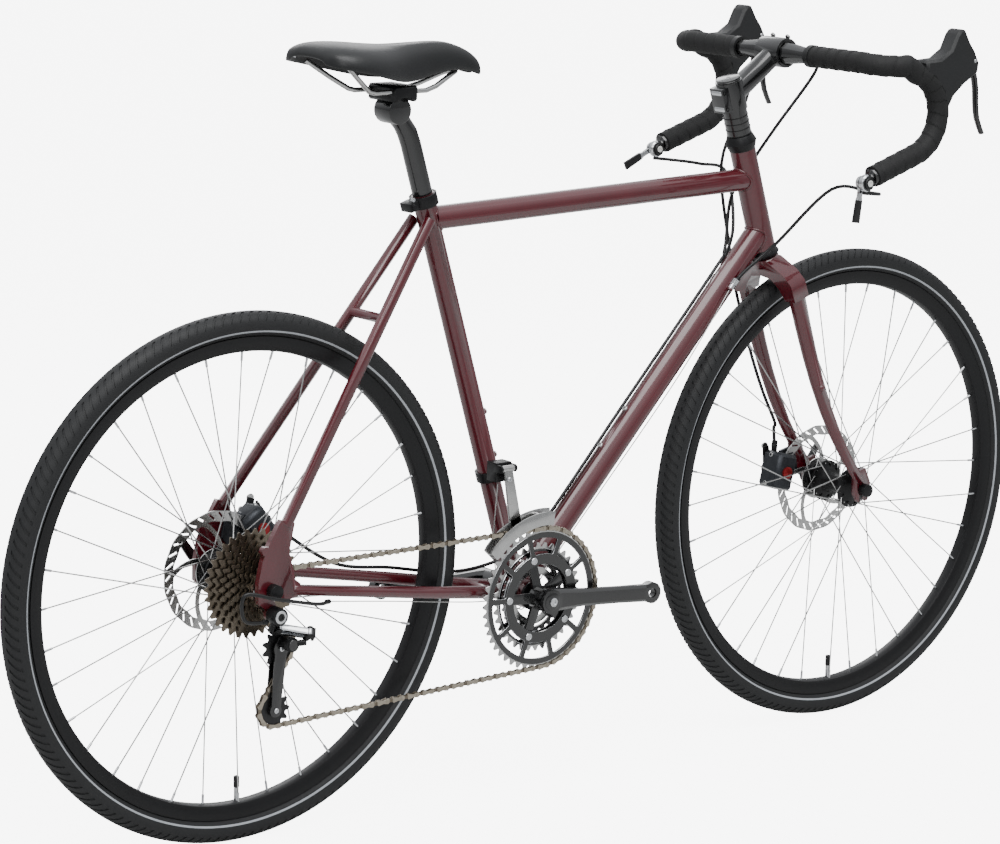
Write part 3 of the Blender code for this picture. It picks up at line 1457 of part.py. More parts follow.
def make_front_derailleur():
    inner = SEAT_TUBE_R + GAP
    band = turned(
        ((inner + 0.0035, -0.007), (inner + 0.0035, 0.007), (inner, 0.007), (inner, -0.007)),
        seat(FD_BAND_AT),
        SEAT_DIR,
        16,
    )
    x, z = FD_HINGE.x, FD_HINGE.z
    body = block(at(x, -0.0270, z - 0.006), (0.026, 0.0200, 0.026))
    pieces = [body]
    for side in (-1, 1):
        pieces.append(block(at(x + side * 0.0120, -0.0395, z), (0.0030, 0.0150, 0.010)))
        pieces.append(disc(FD_HINGE + X * side * 0.0120, X, 0.0050, -0.0015, 0.0015, 12))
    bore = rod(seat(FD_BAND_AT - 0.03), seat(FD_BAND_AT + 0.05), inner + 0.0002, 20)
    part("front_derailleur_clamp", cut(union(band, *pieces), bore), "black_alloy")

    outer_y, inner_y = -0.0600, -0.0475
    outlines = []
    for radius in (0.1025, 0.0920):
        arc = [(radius * cos(a), radius * sin(a)) for a in CAGE_ARC]
        outlines.append([(BB.x + u, BB.z + v) for u, v in arc + list(CAGE_TAIL)])
    outer = plate(outlines[0], outer_y, outer_y + 0.0015)
    inner_plate = plate(outlines[1], inner_y, inner_y + 0.0015)
    top = block(BB + at(-0.022, (outer_y + inner_y) / 2, 0.1235), (0.040, inner_y - outer_y + 0.001, 0.004))
    tail = disc(BB + at(-0.086, 0, 0.078), Y, 0.0030, outer_y + 0.0005, inner_y + 0.0010, 10)
    arm_low = BB.z + 0.118
    arm = block(at(x, -0.0455, (arm_low + z) / 2), (0.016, 0.0040, z - arm_low))
    hub = disc(FD_HINGE, X, 0.0045, -0.0100, 0.0100, 12)
    part(
        "front_derailleur_cage",
        union(outer, inner_plate, top, tail, arm, hub),
        "stainless",
        FD_HINGE,
    )


# ---------------------------------------------------------------- disc brakes
FRONT_CALIPER_ANGLE = radians(166)
REAR_CALIPER_ANGLE = radians(37)
FRONT_CALIPER_R = 0.0775
REAR_CALIPER_R = 0.0820
CALIPER_RADIAL = 0.038
CALIPER_LONG = 0.054
CALIPER_INNER = 0.0130
CALIPER_OUTER = 0.0255
SLOT_HALF = 0.0015
ARM_THICKNESS = 0.0050
ARM_LENGTH = 0.034
FORK_TAB = ((-0.012, 0.008), (-0.034, 0.062), (-0.048, 0.062), (-0.047, 0.040), (-0.052, 0.018))
FRONT_BRACKET = ((-0.036, 0.014), (-0.041, 0.038), (-0.054, 0.052), (-0.072, 0.048), (-0.068, 0.004))
REAR_BRACKET = ((0.016, 0.040), (0.024, 0.074), (0.062, 0.066), (0.072, 0.036), (0.030, 0.022))


def caliper_centre(axle, angle, radius):
    return axle + tilted(angle) * radius


def make_caliper(name, axle, angle, radius, rotor_y, bracket, bracket_y, origin=None):
    centre = caliper_centre(axle, angle, radius)
    low, high = rotor_y - CALIPER_INNER, rotor_y + CALIPER_OUTER
    turn = Matrix.Rotation(-angle, 3, "Y")
    size = (CALIPER_RADIAL, high - low, CALIPER_LONG)
    body = softened(block(centre + Y * (low + high) / 2, size, turn), 0.0050)
    outline = [(axle.x + x, axle.z + z) for x, z in bracket]
    arm = plate(outline, bracket_y[0], bracket_y[1])
    knob = disc(centre, Y, 0.0085, low - 0.0025, low + 0.001, 12)
    slot = disc(axle, Y, ROTOR_R + 0.0016, rotor_y - SLOT_HALF, rotor_y + SLOT_HALF, 36)
    part(name, cut(union(body, arm, knob), slot), "black_alloy", origin)


def make_caliper_arm(name, axle, angle, radius, rotor_y, arm_angle):
    centre = caliper_centre(axle, angle, radius)
    low = rotor_y + CALIPER_OUTER + GAP
    pivot = centre + Y * low
    hub = disc(centre, Y, 0.0110, low, low + ARM_THICKNESS, 16)
    along = tilted(arm_angle)
    across = at(-along.z, 0, along.x)
    outline = ((0.0, 0.0080), (ARM_LENGTH, 0.0050))
    points = [centre + along * u + across * v for u, v in outline]
    points += [centre + along * u - across * v for u, v in reversed(outline)]
    beam = plate([(p.x, p.z) for p in points], low + 0.0008, low + ARM_THICKNESS - 0.0008)
    part(name, union(hub, beam), "black_alloy", pivot)


# ---------------------------------------------------------------- control cables
HOUSING_CLEAR = HOUSING_R + 0.0006


def down_tube_point(s, angle, radius):
    """A point beside the down tube: angle 0 is on its upper side, positive towards the left."""
    out = DOWN_UP * cos(angle) + Y * sin(angle)
    return BB + DOWN_DIR * s + out * radius


def wire_round_tube(side, stop_s):
    """Bare wire from a side stop round to the underside of the down tube and under the shell."""
    route = []
    for s, degrees in ((stop_s - 0.050, 98), (stop_s - 0.140, 125), (0.300, 148), (0.120, 168), (0.050, 172)):
        route.append(down_tube_point(s, side * radians(degrees), DOWN_TUBE_R + 0.0042))
    y = -0.0080 if side < 0 else -0.0015
    for degrees in (-62, -95, -128, -160):
        route.append(BB + tilted(radians(degrees), BB_SHELL_R + 0.0045) + Y * y)
    return route


def make_cable(name, points, origin=None, steps=2, sides=6):
    """Points are grouped into runs of (radius, corners); the steps smooth each run."""
    path, radii = [], []
    for radius, corners in points:
        run = smooth_path(corners, steps)
        if path:
            run[0] = run[0] + (run[1] - run[0]).normalized() * 0.0006
        path += run
        radii += [radius] * len(run)
    part(name, swept(path, radii, sides), "black_plastic", origin)


def make_cables():
    bar_front = BAR_R + HOUSING_CLEAR
    out_y = TAPE_START - 0.0040
    stop_s = DOWN_LENGTH - STOP_FROM_HEAD
    on_tube = DOWN_TUBE_R + HOUSING_CLEAR
    head_front = steer(HEAD_TOP_T - 0.03) + STEER_FRONT * 0.045

    # right lever to the rear brake: round the head tube, down the left of the down tube, along the stay
    right = [
        BAR_CENTRE + at(bar_front, -out_y, 0),
        BAR_CENTRE + at(bar_front + 0.010, -0.058, -0.002),
        BAR_CENTRE + at(0.048, -0.030, -0.030),
        head_front + at(0.012, -0.002, 0.045),
        head_front + at(-0.006, 0.024, -0.005),
        steer(HEAD_LOW_T + 0.075) + at(-0.004, 0.040, 0),
        down_tube_point(DOWN_LENGTH - 0.050, radians(62), on_tube + 0.006),
        down_tube_point(DOWN_LENGTH - 0.090, radians(38), on_tube),
        down_tube_point(0.30, radians(38), on_tube),
        down_tube_point(0.105, radians(38), on_tube),
    ]
    stay_up = at(0.0, 0, CHAINSTAY_R + HOUSING_CLEAR + 0.0022)
    caliper = caliper_centre(REAR_AXLE, REAR_CALIPER_ANGLE, REAR_CALIPER_R)
    right += [
        down_tube_point(0.052, radians(70), on_tube + 0.014),
        BB + at(-0.030, 0.0435, 0.0280),
        chainstay_point(0.24, 0.0350) + stay_up,
        chainstay_point(0.42, 0.0490) + stay_up,
        chainstay_point(0.62, 0.0610) + stay_up,
        caliper + at(0.044, 0.0700, -0.010),
        caliper + at(0.025, 0.0700, 0.004),
    ]
    make_cable("rear_brake_cable", [(HOUSING_R, right)])

    # left lever to the front brake: down the back of the left fork blade
    blade = []
    for fraction in (0.06, 0.28, 0.52, 0.70):
        radius = BLADE_R * (1 - 0.42 * fraction)
        offset = -STEER_FRONT * (radius * 1.05 + HOUSING_CLEAR) + Y * (radius * 0.75 + 0.0018)
        blade.append(blade_point(fraction, 1) + offset)
    caliper = caliper_centre(FRONT_AXLE, FRONT_CALIPER_ANGLE, FRONT_CALIPER_R)
    left = [
        BAR_CENTRE + at(bar_front, out_y, 0),
        BAR_CENTRE + at(bar_front + 0.006, 0.070, -0.020),
        BAR_CENTRE + at(0.010, 0.068, -0.075),
        steer(HEAD_TOP_T - 0.03) + at(0.014, 0.067, 0),
        steer(CROWN_T + 0.005) + at(-0.004, CROWN_HALF + 0.0055, 0),
        steer(CROWN_T - 0.045) + at(-0.009, CROWN_HALF + 0.0052, 0),
    ]
    left += blade[1:]
    tip = FRONT_ROTOR_Y + CALIPER_OUTER - 0.008
    left += [caliper + at(-0.001, tip, 0.062), caliper + at(0.002, tip, 0.036)]
    make_cable("front_brake_cable", [(HOUSING_R, left)], steer(CROWN_T))

    # bar-end levers to the derailleurs: loops of housing to the stops, then bare wire
    pod = POD_CENTRE + at(0, 0, -0.0105 - HOUSING_CLEAR)
    stop_y = DOWN_TUBE_R + STOP_R * 0.7
    stop_end = DOWN_DIR * (0.006 + GAP)
    stops = {side: BB + DOWN_DIR * stop_s + Y * side * stop_y for side in (-1, 1)}
    right_loop = [
        at(POD_CENTRE.x - 0.004, -POD_CENTRE.y, pod.z),
        at(POD_CENTRE.x + 0.030, -POD_CENTRE.y + 0.004, pod.z - 0.004),
        at(POD_CENTRE.x + 0.052, -0.175, pod.z - 0.008),
        at(POD_CENTRE.x + 0.040, -0.110, pod.z - 0.010),
        stops[-1] + at(0.060, -0.026, 0.062),
        stops[-1] + DOWN_DIR * 0.030 + at(0.002, -0.004, 0),
        stops[-1] + stop_end,
    ]
    right_wire = [stops[-1] + stop_end, stops[-1] - stop_end * 1.2]
    right_wire += wire_round_tube(-1, stop_s)
    right_wire += [
        chainstay_point(0.24, -0.0300) - Z * (CHAINSTAY_R + 0.0050),
        chainstay_point(0.60, -0.0590) - Z * (CHAINSTAY_R + 0.0030),
        chainstay_point(0.86, -0.0700) - Z * (CHAINSTAY_R + 0.0045),
    ]
    hanger_y = -REAR_DROPOUT_Y - DROPOUT_THICKNESS
    tail_loop = [
        chainstay_point(0.86, -0.0700) - Z * (CHAINSTAY_R + 0.0045),
        chainstay_point(0.93, -0.0840) - Z * (CHAINSTAY_R + 0.0060),
        REAR_AXLE + at(-0.010, hanger_y - 0.0270, -0.004),
        REAR_AXLE + at(-0.055, hanger_y - 0.0200, 0.006),
        HANGER + at(-0.052, hanger_y - 0.0130, 0.002),
        HANGER + at(-0.0150, hanger_y - 0.0100, -0.0060),
    ]
    make_cable(
        "rear_shift_cable",
        [(HOUSING_R, right_loop), (WIRE_R, right_wire), (HOUSING_R, tail_loop)],
    )
    left_loop = [
        at(POD_CENTRE.x - 0.004, POD_CENTRE.y, pod.z),
        at(POD_CENTRE.x + 0.028, POD_CENTRE.y - 0.004, pod.z - 0.004),
        at(POD_CENTRE.x + 0.046, 0.172, pod.z - 0.006),
        at(POD_CENTRE.x + 0.036, 0.104, pod.z - 0.010),
        stops[1] + at(0.068, 0.034, 0.072),
        stops[1] + DOWN_DIR * 0.032 + at(0.002, 0.006, 0),
        stops[1] + stop_end,
    ]
    left_wire = [stops[1] + stop_end, stops[1] - stop_end * 1.2]
    left_wire += wire_round_tube(1, stop_s)
    left_wire += [
        BB + at(-0.0320, -0.0040, 0.0060),
        BB + at(-0.0560, -0.0180, 0.0700),
        FD_HINGE + at(-0.002, 0.0180, -0.0240),
    ]
    make_cable("front_shift_cable", [(HOUSING_R, left_loop), (WIRE_R, left_wire)])


# ---------------------------------------------------------------- assembly
def make_everything():
    make_head_tube()
    make_top_tube()
    make_down_tube()
    make_seat_tube()
    make_rear_stays()
    make_headset()
    make_seat_collar()
    make_bottom_bracket()

    rear_face = REAR_DROPOUT_Y + DROPOUT_THICKNESS
    front_face = FRONT_DROPOUT_Y + FORK_DROPOUT_THICKNESS
    make_axle("rear_axle", REAR_AXLE, REAR_DROPOUT_Y, DROPOUT_THICKNESS, REAR_QR_DIR)
    make_axle("front_axle", FRONT_AXLE, FRONT_DROPOUT_Y, FORK_DROPOUT_THICKNESS, FRONT_QR_DIR)
    make_qr_lever("rear_qr_lever", REAR_AXLE, rear_face, REAR_QR_DIR)
    make_qr_lever("front_qr_lever", FRONT_AXLE, front_face, FRONT_QR_DIR)
    for name, axle in (("rear", REAR_AXLE), ("front", FRONT_AXLE)):
        make_tyre(name + "_tyre", axle)
        make_rim(name + "_rim", axle)
    make_hub("rear_hub", REAR_AXLE, REAR_DROPOUT_Y, -0.0205, REAR_ROTOR_Y, FREEHUB_END)
    make_hub("front_hub", FRONT_AXLE, FRONT_DROPOUT_Y, -0.0340, FRONT_ROTOR_Y, None)
    make_rotor("rear_rotor", REAR_AXLE, REAR_ROTOR_Y)
    make_rotor("front_rotor", FRONT_AXLE, FRONT_ROTOR_Y)

    make_fork()
    make_stem()
    make_handlebar()
    for side, hand in ((1, "left"), (-1, "right")):
        make_tape(side, "bar_tape_" + hand)
        make_hood(side, "brake_hood_" + hand)
        make_brake_lever(side, "brake_lever_" + hand)
    make_shift_lever(1, "shift_lever_left", radians(205))
    make_shift_lever(-1, "shift_lever_right", radians(262))

    make_seatpost()
    make_saddle_clamp()
    make_rails()
    make_saddle()

    make_cranks()
    for name, teeth, y, hole in zip(("outer", "middle", "inner"), RING_TEETH, RING_Y, (0.0475, 0.0475, 0.0310)):
        make_chainring("chainring_" + name, teeth, y, hole)
    make_cassette()
    make_knuckles()
    make_link("rd_link_outer", -0.5)
    make_link("rd_link_inner", 0.5)
    make_cage()
    make_pulley("guide_pulley", GUIDE_AXLE)
    make_pulley("tension_pulley", TENSION_AXLE)
    make_chain()
    make_front_derailleur()

    rear_bracket_y = (REAR_DROPOUT_Y - GAP - 0.0055, REAR_DROPOUT_Y - GAP)
    front_bracket_y = (FRONT_DROPOUT_Y - GAP - 0.0055, FRONT_DROPOUT_Y - GAP)
    rear = (REAR_AXLE, REAR_CALIPER_ANGLE, REAR_CALIPER_R, REAR_ROTOR_Y)
    front = (FRONT_AXLE, FRONT_CALIPER_ANGLE, FRONT_CALIPER_R, FRONT_ROTOR_Y)
    make_caliper("rear_brake_caliper", *rear, REAR_BRACKET, rear_bracket_y)
    make_caliper("front_brake_caliper", *front, FRONT_BRACKET, front_bracket_y, steer(CROWN_T))
    make_caliper_arm("rear_caliper_arm", *rear, radians(75))
    make_caliper_arm("front_caliper_arm", *front, radians(100))
    make_cables()


make_everything()
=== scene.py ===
# %% [markdown]
# # A burgundy touring bicycle
# The bicycle was drawn in a CAD program first: every tube, wheel and lever has its real size and its
# real joint there. This lesson gives it its looks. Some CAD pieces only need soft edges and a good
# finish. Others, such as the tyres, the chain or the bar tape, are simple solids that are replaced
# here by detailed ones. We start by clearing the scene and loading the fixed frame.

# %% The frame to build on
import json
from math import acos, atan2, cos, hypot, pi, radians, sin

import bpy
from mathutils import Matrix, Vector

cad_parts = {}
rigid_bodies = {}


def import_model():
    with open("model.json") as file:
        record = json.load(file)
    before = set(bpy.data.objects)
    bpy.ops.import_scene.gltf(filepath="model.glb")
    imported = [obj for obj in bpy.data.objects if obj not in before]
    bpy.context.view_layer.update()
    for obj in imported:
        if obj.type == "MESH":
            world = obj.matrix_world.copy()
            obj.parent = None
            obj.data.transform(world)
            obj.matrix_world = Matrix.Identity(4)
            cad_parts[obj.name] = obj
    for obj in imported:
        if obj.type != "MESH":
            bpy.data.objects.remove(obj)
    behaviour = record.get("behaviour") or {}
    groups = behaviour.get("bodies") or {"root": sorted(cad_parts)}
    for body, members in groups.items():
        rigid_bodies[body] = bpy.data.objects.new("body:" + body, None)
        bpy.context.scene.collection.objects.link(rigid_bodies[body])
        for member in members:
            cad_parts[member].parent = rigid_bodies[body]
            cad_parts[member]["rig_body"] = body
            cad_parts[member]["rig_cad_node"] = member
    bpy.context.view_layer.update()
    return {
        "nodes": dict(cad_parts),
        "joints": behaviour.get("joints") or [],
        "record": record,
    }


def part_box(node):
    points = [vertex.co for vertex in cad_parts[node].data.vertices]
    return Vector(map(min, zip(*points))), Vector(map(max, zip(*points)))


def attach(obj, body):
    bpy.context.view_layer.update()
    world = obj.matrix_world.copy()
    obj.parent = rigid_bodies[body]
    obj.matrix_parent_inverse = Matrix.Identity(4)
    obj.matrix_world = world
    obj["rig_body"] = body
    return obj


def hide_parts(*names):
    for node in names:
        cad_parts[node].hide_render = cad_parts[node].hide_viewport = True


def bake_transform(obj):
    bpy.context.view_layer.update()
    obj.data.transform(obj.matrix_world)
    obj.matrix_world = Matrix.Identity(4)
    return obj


for old in list(bpy.data.objects):
    bpy.data.objects.remove(old, do_unlink=True)

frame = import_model()
joints = {joint["name"]: joint for joint in frame["joints"]}
mounts = {mount["name"]: mount for mount in frame["record"]["mounts"]}
MM = 0.001

# %% [markdown]
# ## Places to build from
# Everything is placed from the CAD model: the joints' own axes give the axles and pivots, and the
# box of each node gives its ends. X points forwards, Y to the rider's left and Z up.

# %% Axles, pivots and directions
X, Y, Z = Vector((1, 0, 0)), Vector((0, 1, 0)), Vector((0, 0, 1))


def pivot(name):
    """The point that a joint turns about."""
    return Vector(joints[name]["pos_m"])


def flat(angle, length=1.0):
    """A vector in the plane of the wheels, at an angle above the forward direction."""
    return Vector((cos(angle), 0, sin(angle))) * length


REAR, FRONT, BB = pivot("rear_wheel_spin"), pivot("front_wheel_spin"), pivot("crank_spin")
STEER_DIR = Vector(joints["steering"]["axis"])
SEAT_DIR = Vector(joints["seatpost_height"]["axis"])
HEAD = pivot("steering")
STEER_FRONT = Vector((STEER_DIR.z, 0, -STEER_DIR.x))
DOWN_UP = Vector(mounts["down_tube_bottle_boss_low"]["axis"])
DOWN_DIR = Vector((DOWN_UP.z, 0, -DOWN_UP.x))
print("wheelbase", round((FRONT - REAR).x, 3), "bottom bracket height", round(BB.z, 3))

# %% [markdown]
# ## Small tools
# Blender's operators act on whatever is selected, so each tool first selects only what it means to
# change. A turned piece is a closed profile spun about an axis, as on a lathe. A cut piece is an
# outline with a thickness, as if sawn from sheet. A bent piece is a line with a round section.


# %% Selecting and finishing
def only(obj):
    """Selects one object and makes it active."""
    bpy.ops.object.select_all(action="DESELECT")
    obj.select_set(True)
    bpy.context.view_layer.objects.active = obj
    return obj


def edit(obj):
    """Opens one object in edit mode with all of it selected."""
    only(obj)
    bpy.ops.object.mode_set(mode="EDIT")
    bpy.ops.mesh.select_all(action="SELECT")


def tidy(obj):
    """Merges doubles, removes loose bits and turns the faces outwards."""
    if bpy.context.mode != "EDIT_MESH":
        edit(obj)
    bpy.ops.mesh.select_all(action="SELECT")
    bpy.ops.mesh.remove_doubles(threshold=0.002 * MM)
    bpy.ops.mesh.delete_loose()
    bpy.ops.mesh.select_all(action="SELECT")
    bpy.ops.mesh.normals_make_consistent(inside=False)
    bpy.ops.object.mode_set(mode="OBJECT")
    return obj


def applied(obj):
    """Applies every modifier in order."""
    only(obj)
    for modifier in list(obj.modifiers):
        bpy.ops.object.modifier_apply(modifier=modifier.name)
    return obj


def softened(obj, width, segments=2, angle=35, material=-1):
    """Rounds the sharp edges; material is the slot that the new faces take."""
    bevel = obj.modifiers.new("edges", "BEVEL")
    bevel.width = width
    bevel.segments = segments
    bevel.limit_method = "ANGLE"
    bevel.angle_limit = radians(angle)
    bevel.material = material
    bevel.harden_normals = False
    return applied(obj)


def joined(name, pieces):
    """Several objects as one."""
    only(pieces[0])
    for piece in pieces:
        piece.select_set(True)
    if len(pieces) > 1:
        bpy.ops.object.join()
    pieces[0].name = name
    return pieces[0]


def repeated(name, model, places):
    """Copies of one piece, each with its own mesh, moved to their places and joined."""
    made = []
    for place in places:
        copy = model.copy()
        copy.data = model.data.copy()
        copy.data.transform(place)
        bpy.context.scene.collection.objects.link(copy)
        made.append(copy)
    bpy.data.objects.remove(model, do_unlink=True)
    return joined(name, made)


def about(centre, axis, angle):
    """The turn about a line through a point."""
    return Matrix.Translation(centre) @ Matrix.Rotation(angle, 4, axis) @ Matrix.Translation(-centre)


# %% Shapes: outline, turned, cut and bent pieces
def outline(name, points):
    """A closed loop: a circle whose corners are dragged to the given points."""
    bpy.ops.object.select_all(action="DESELECT")
    bpy.ops.mesh.primitive_circle_add(vertices=len(points), radius=1)
    obj = bpy.context.object
    obj.name = name
    for vertex, point in zip(obj.data.vertices, points):
        vertex.co = point
    return obj


def side_of(axis):
    """Two directions square to an axis."""
    axis = axis.normalized()
    first = Y - axis * Y.dot(axis)
    if first.length < 0.1:
        first = X - axis * X.dot(axis)
    first.normalize()
    return first, axis.cross(first)


def mm(profile):
    """A profile written in millimetres, in metres."""
    return [(radius * MM, height * MM) for radius, height in profile]


def turned(name, profile, centre, axis=Y, steps=32):
    """A profile of (radius, distance along the axis) spun a full turn."""
    axis = axis.normalized()
    first, _ = side_of(axis)
    obj = outline(name, [centre + first * r + axis * h for r, h in profile])
    edit(obj)
    bpy.ops.mesh.spin(steps=steps, angle=2 * pi, center=centre, axis=axis)
    return tidy(obj)


def knob(name, centre, axis, radius, low, high, edge=0.25, steps=20):
    """A short round piece with rounded rims between two distances along its axis."""
    soft = min(radius, high - low) * edge
    profile = [(0, low), (radius - soft, low), (radius, low + soft)]
    profile += [(radius, high - soft), (radius - soft, high), (0, high)]
    return turned(name, profile, centre, axis, steps)


def socket_bolt(name, centre, axis, radius, height):
    """A screw head with a round rim and a sunk hexagonal key hole."""
    key = radius * 0.55
    profile = [(0, 0), (radius, 0), (radius, height * 0.75), (radius * 0.82, height)]
    profile += [(key, height), (key * 0.92, height * 0.35), (0, height * 0.30)]
    return turned(name, profile, centre, axis, 12)


def sheet(name, points, thickness):
    """An outline filled and pulled out by a vector."""
    obj = outline(name, points)
    edit(obj)
    bpy.ops.mesh.edge_face_add()
    bpy.ops.mesh.extrude_region_move(TRANSFORM_OT_translate={"value": thickness})
    return tidy(obj)


def sheet_ring(name, outer, inner, thickness):
    """A flat ring between two outlines with the same number of corners."""
    obj = joined(name, [outline(name, outer), outline(name + "_hole", inner)])
    edit(obj)
    bpy.ops.mesh.bridge_edge_loops()
    bpy.ops.mesh.extrude_region_move(TRANSFORM_OT_translate={"value": thickness})
    return tidy(obj)


def cut(obj, cutter):
    """Takes the cutter's shape out of the piece and removes the cutter."""
    knife = obj.modifiers.new("cut", "BOOLEAN")
    knife.operation = "DIFFERENCE"
    knife.solver = "EXACT"
    knife.object = cutter
    applied(obj)
    bpy.data.objects.remove(cutter, do_unlink=True)
    return obj


def bent(name, lines, radius, sides=10):
    """Round bars along one or more lines of points."""
    curve = bpy.data.curves.new(name, "CURVE")
    curve.dimensions = "3D"
    curve.bevel_depth = radius
    curve.bevel_resolution = max(0, sides // 2 - 2)
    curve.use_fill_caps = True
    for line in lines:
        spline = curve.splines.new("POLY")
        spline.points.add(len(line) - 1)
        for point, place in zip(spline.points, line):
            point.co = (*place, 1)
    obj = bpy.data.objects.new(name, curve)
    bpy.context.scene.collection.objects.link(obj)
    only(obj)
    bpy.ops.object.convert(target="MESH")
    return tidy(bpy.context.object)


def rounded(points, steps=6):
    """A smooth line through a few points, with the same ends."""
    line = []
    for i in range(len(points) - 1):
        before = points[max(i - 1, 0)]
        here, after = points[i], points[i + 1]
        beyond = points[min(i + 2, len(points) - 1)]
        slope = after - before
        curve = 2 * before - 5 * here + 4 * after - beyond
        twist = 3 * here - before - 3 * after + beyond
        for step in range(steps):
            t = step / steps
            line.append(0.5 * (2 * here + slope * t + curve * t**2) + 0.5 * twist * t**3)
    return line + [points[-1]]


# %% [markdown]
# ## Finishes
# Each finish starts from what the real surface is. Most share one recipe: a base colour that varies
# a little over centimetres, a roughness that varies with it, and a fine relief. Every colour is
# given as an sRGB hex value and one function turns it to the linear light that the shader expects.
# Patterns are given by their size in millimetres: a noise of scale 1 is one metre across, so a
# grain of 2 mm needs scale 500.


# %% Colours and nodes
def paint(code):
    """A hex colour as linear red, green, blue and alpha."""
    parts = [int(code[i : i + 2], 16) / 255 for i in (0, 2, 4)]
    linear = [c / 12.92 if c <= 0.04045 else ((c + 0.055) / 1.055) ** 2.4 for c in parts]
    return (*linear, 1)


def add(tree, kind, inputs=None, **settings):
    """Adds one node with its settings, and its inputs as values or links."""
    made = tree.nodes.new(kind)
    for key, value in settings.items():
        setattr(made, key, value)
    for key, value in (inputs or {}).items():
        if isinstance(value, bpy.types.NodeSocket):
            tree.links.new(value, made.inputs[key])
        else:
            made.inputs[key].default_value = value
    return made


def finish(name, light, dark, rough, patch, grain, depth, metal=0.0, wear=0.06, **fixed):
    """A finish with two tones, patch mm across, over a relief of grain mm that is depth mm deep."""
    made = bpy.data.materials.new(name)
    made.use_nodes = True
    tree = made.node_tree
    shader = tree.nodes["Principled BSDF"]
    place = add(tree, "ShaderNodeTexCoord").outputs["Object"]
    broad = add(tree, "ShaderNodeTexNoise", {"Vector": place, "Scale": 1000 / patch, "Detail": 5})
    tones = {0: broad.outputs[0], 6: paint(dark), 7: paint(light)}
    tone = add(tree, "ShaderNodeMix", tones, data_type="RGBA")
    sheen = {"Value": broad.outputs[0], 3: rough - wear, 4: rough + wear}
    spread = add(tree, "ShaderNodeMapRange", sheen)
    fine = add(tree, "ShaderNodeTexNoise", {"Vector": place, "Scale": 1000 / grain, "Detail": 3})
    relief = {"Height": fine.outputs[0], "Distance": depth * MM, "Strength": 1.0}
    bump = add(tree, "ShaderNodeBump", relief)
    tree.links.new(tone.outputs[2], shader.inputs["Base Color"])
    tree.links.new(spread.outputs[0], shader.inputs["Roughness"])
    tree.links.new(bump.outputs[0], shader.inputs["Normal"])
    shader.inputs["Metallic"].default_value = metal
    for key, value in fixed.items():
        shader.inputs[key.replace("_", " ")].default_value = value
    return made


# %% [markdown]
# Burgundy enamel is a powder coat baked on steel: a deep red-brown under a hard clear gloss, with a
# faint orange-peel waviness a few millimetres across. The clear coat makes the crisp highlight
# along each tube, and the colour under it stays dark.

# %% Burgundy enamel
gloss = {"Coat_Weight": 1.0, "Coat_Roughness": 0.05}
enamel = finish("baked_burgundy_enamel", "560315", "46020F", 0.32, 60, 3.5, 0.012, **gloss)

# %% [markdown]
# Black metal comes in three kinds. Anodised aluminium keeps a fine satin grain. Forged and painted
# parts such as the cranks, seatpost and stem are nearly mirror smooth under lacquer. Cast caliper
# bodies are grey and slightly sandy. The bright parts are polished aluminium, stainless steel with
# fine brushing and nickel-plated steel, which is warmer.

# %% Metals
anodised = finish("anodised_black_aluminium", "111113", "0B0B0D", 0.40, 30, 0.6, 0.01, 0.35)
thin_gloss = {"Coat_Weight": 0.8, "Coat_Roughness": 0.06}
lacquer = finish("lacquered_forged_aluminium", "0B0B0C", "070708", 0.22, 45, 2.5, 0.008, **thin_gloss)
cast = finish("cast_grey_aluminium", "45474B", "303236", 0.40, 12, 0.7, 0.05, 0.85)
polished = finish("polished_aluminium", "DADBDD", "C6C8CA", 0.17, 25, 0.8, 0.004, 1.0)
stainless = finish("brushed_stainless_steel", "C9C9C8", "AEAEAD", 0.27, 15, 0.5, 0.006, 1.0)
nickel = finish("nickel_plated_steel", "BDB5A6", "8F877A", 0.30, 8, 0.8, 0.01, 1.0)
dark_steel = finish("oiled_cassette_steel", "93897B", "5C5449", 0.36, 6, 0.8, 0.02, 1.0)
red_anodised = finish("red_anodised_aluminium", "A32A2C", "86191D", 0.30, 15, 0.6, 0.008, 0.6)

# %% [markdown]
# The soft and plastic parts: tyre rubber is dull with a bloom of grey, brake hoods are moulded
# rubber with a fine stipple, the saddle is grained vinyl over firm foam, the tape is a foam ribbon
# with a matte, slightly pitted face, and cable housing is a smooth plastic skin.

# %% Rubber, plastic, vinyl and tape
tyre_rubber = finish("moulded_tyre_rubber", "17181A", "0F1011", 0.62, 20, 0.9, 0.06, wear=0.1)
reflector = finish("reflective_sidewall_band", "B9BDC2", "9DA1A6", 0.38, 12, 0.6, 0.02, 0.2)
hood_rubber = finish("stippled_hood_rubber", "141517", "0E0F10", 0.56, 25, 0.9, 0.08)
housing = finish("cable_housing_plastic", "0E0E0F", "09090A", 0.34, 20, 0.8, 0.01)
plastic = finish("moulded_black_plastic", "101011", "0A0A0B", 0.42, 20, 0.7, 0.03)
tape = finish("foam_bar_tape", "111112", "0A0A0A", 0.72, 14, 1.1, 0.14, wear=0.08)
vinyl = finish("grained_saddle_vinyl", "131416", "0D0E0F", 0.42, 40, 1.0, 0.09, wear=0.05)
white_plastic = finish("pale_plastic_cap", "E8E8E4", "DCDCD8", 0.35, 12, 0.8, 0.01)
print("finishes:", len(bpy.data.materials))

# %% [markdown]
# ## Pieces that keep their CAD shape
# A CAD node arrives as loose triangles, so its shading is faceted and its edges are knife sharp.
# A copy is merged, its flat faces are joined, its sharp edges are rounded by a fraction of a
# millimetre and it is shaded smooth. The copy then stands for the node.

# %% Dressing a node
BODY_OF = {node: obj["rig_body"] for node, obj in frame["nodes"].items()}


def smooth(obj, angle=40):
    """Smooth shading except across edges sharper than the angle."""
    only(obj)
    bpy.ops.object.shade_smooth_by_angle(angle=radians(angle))
    return obj


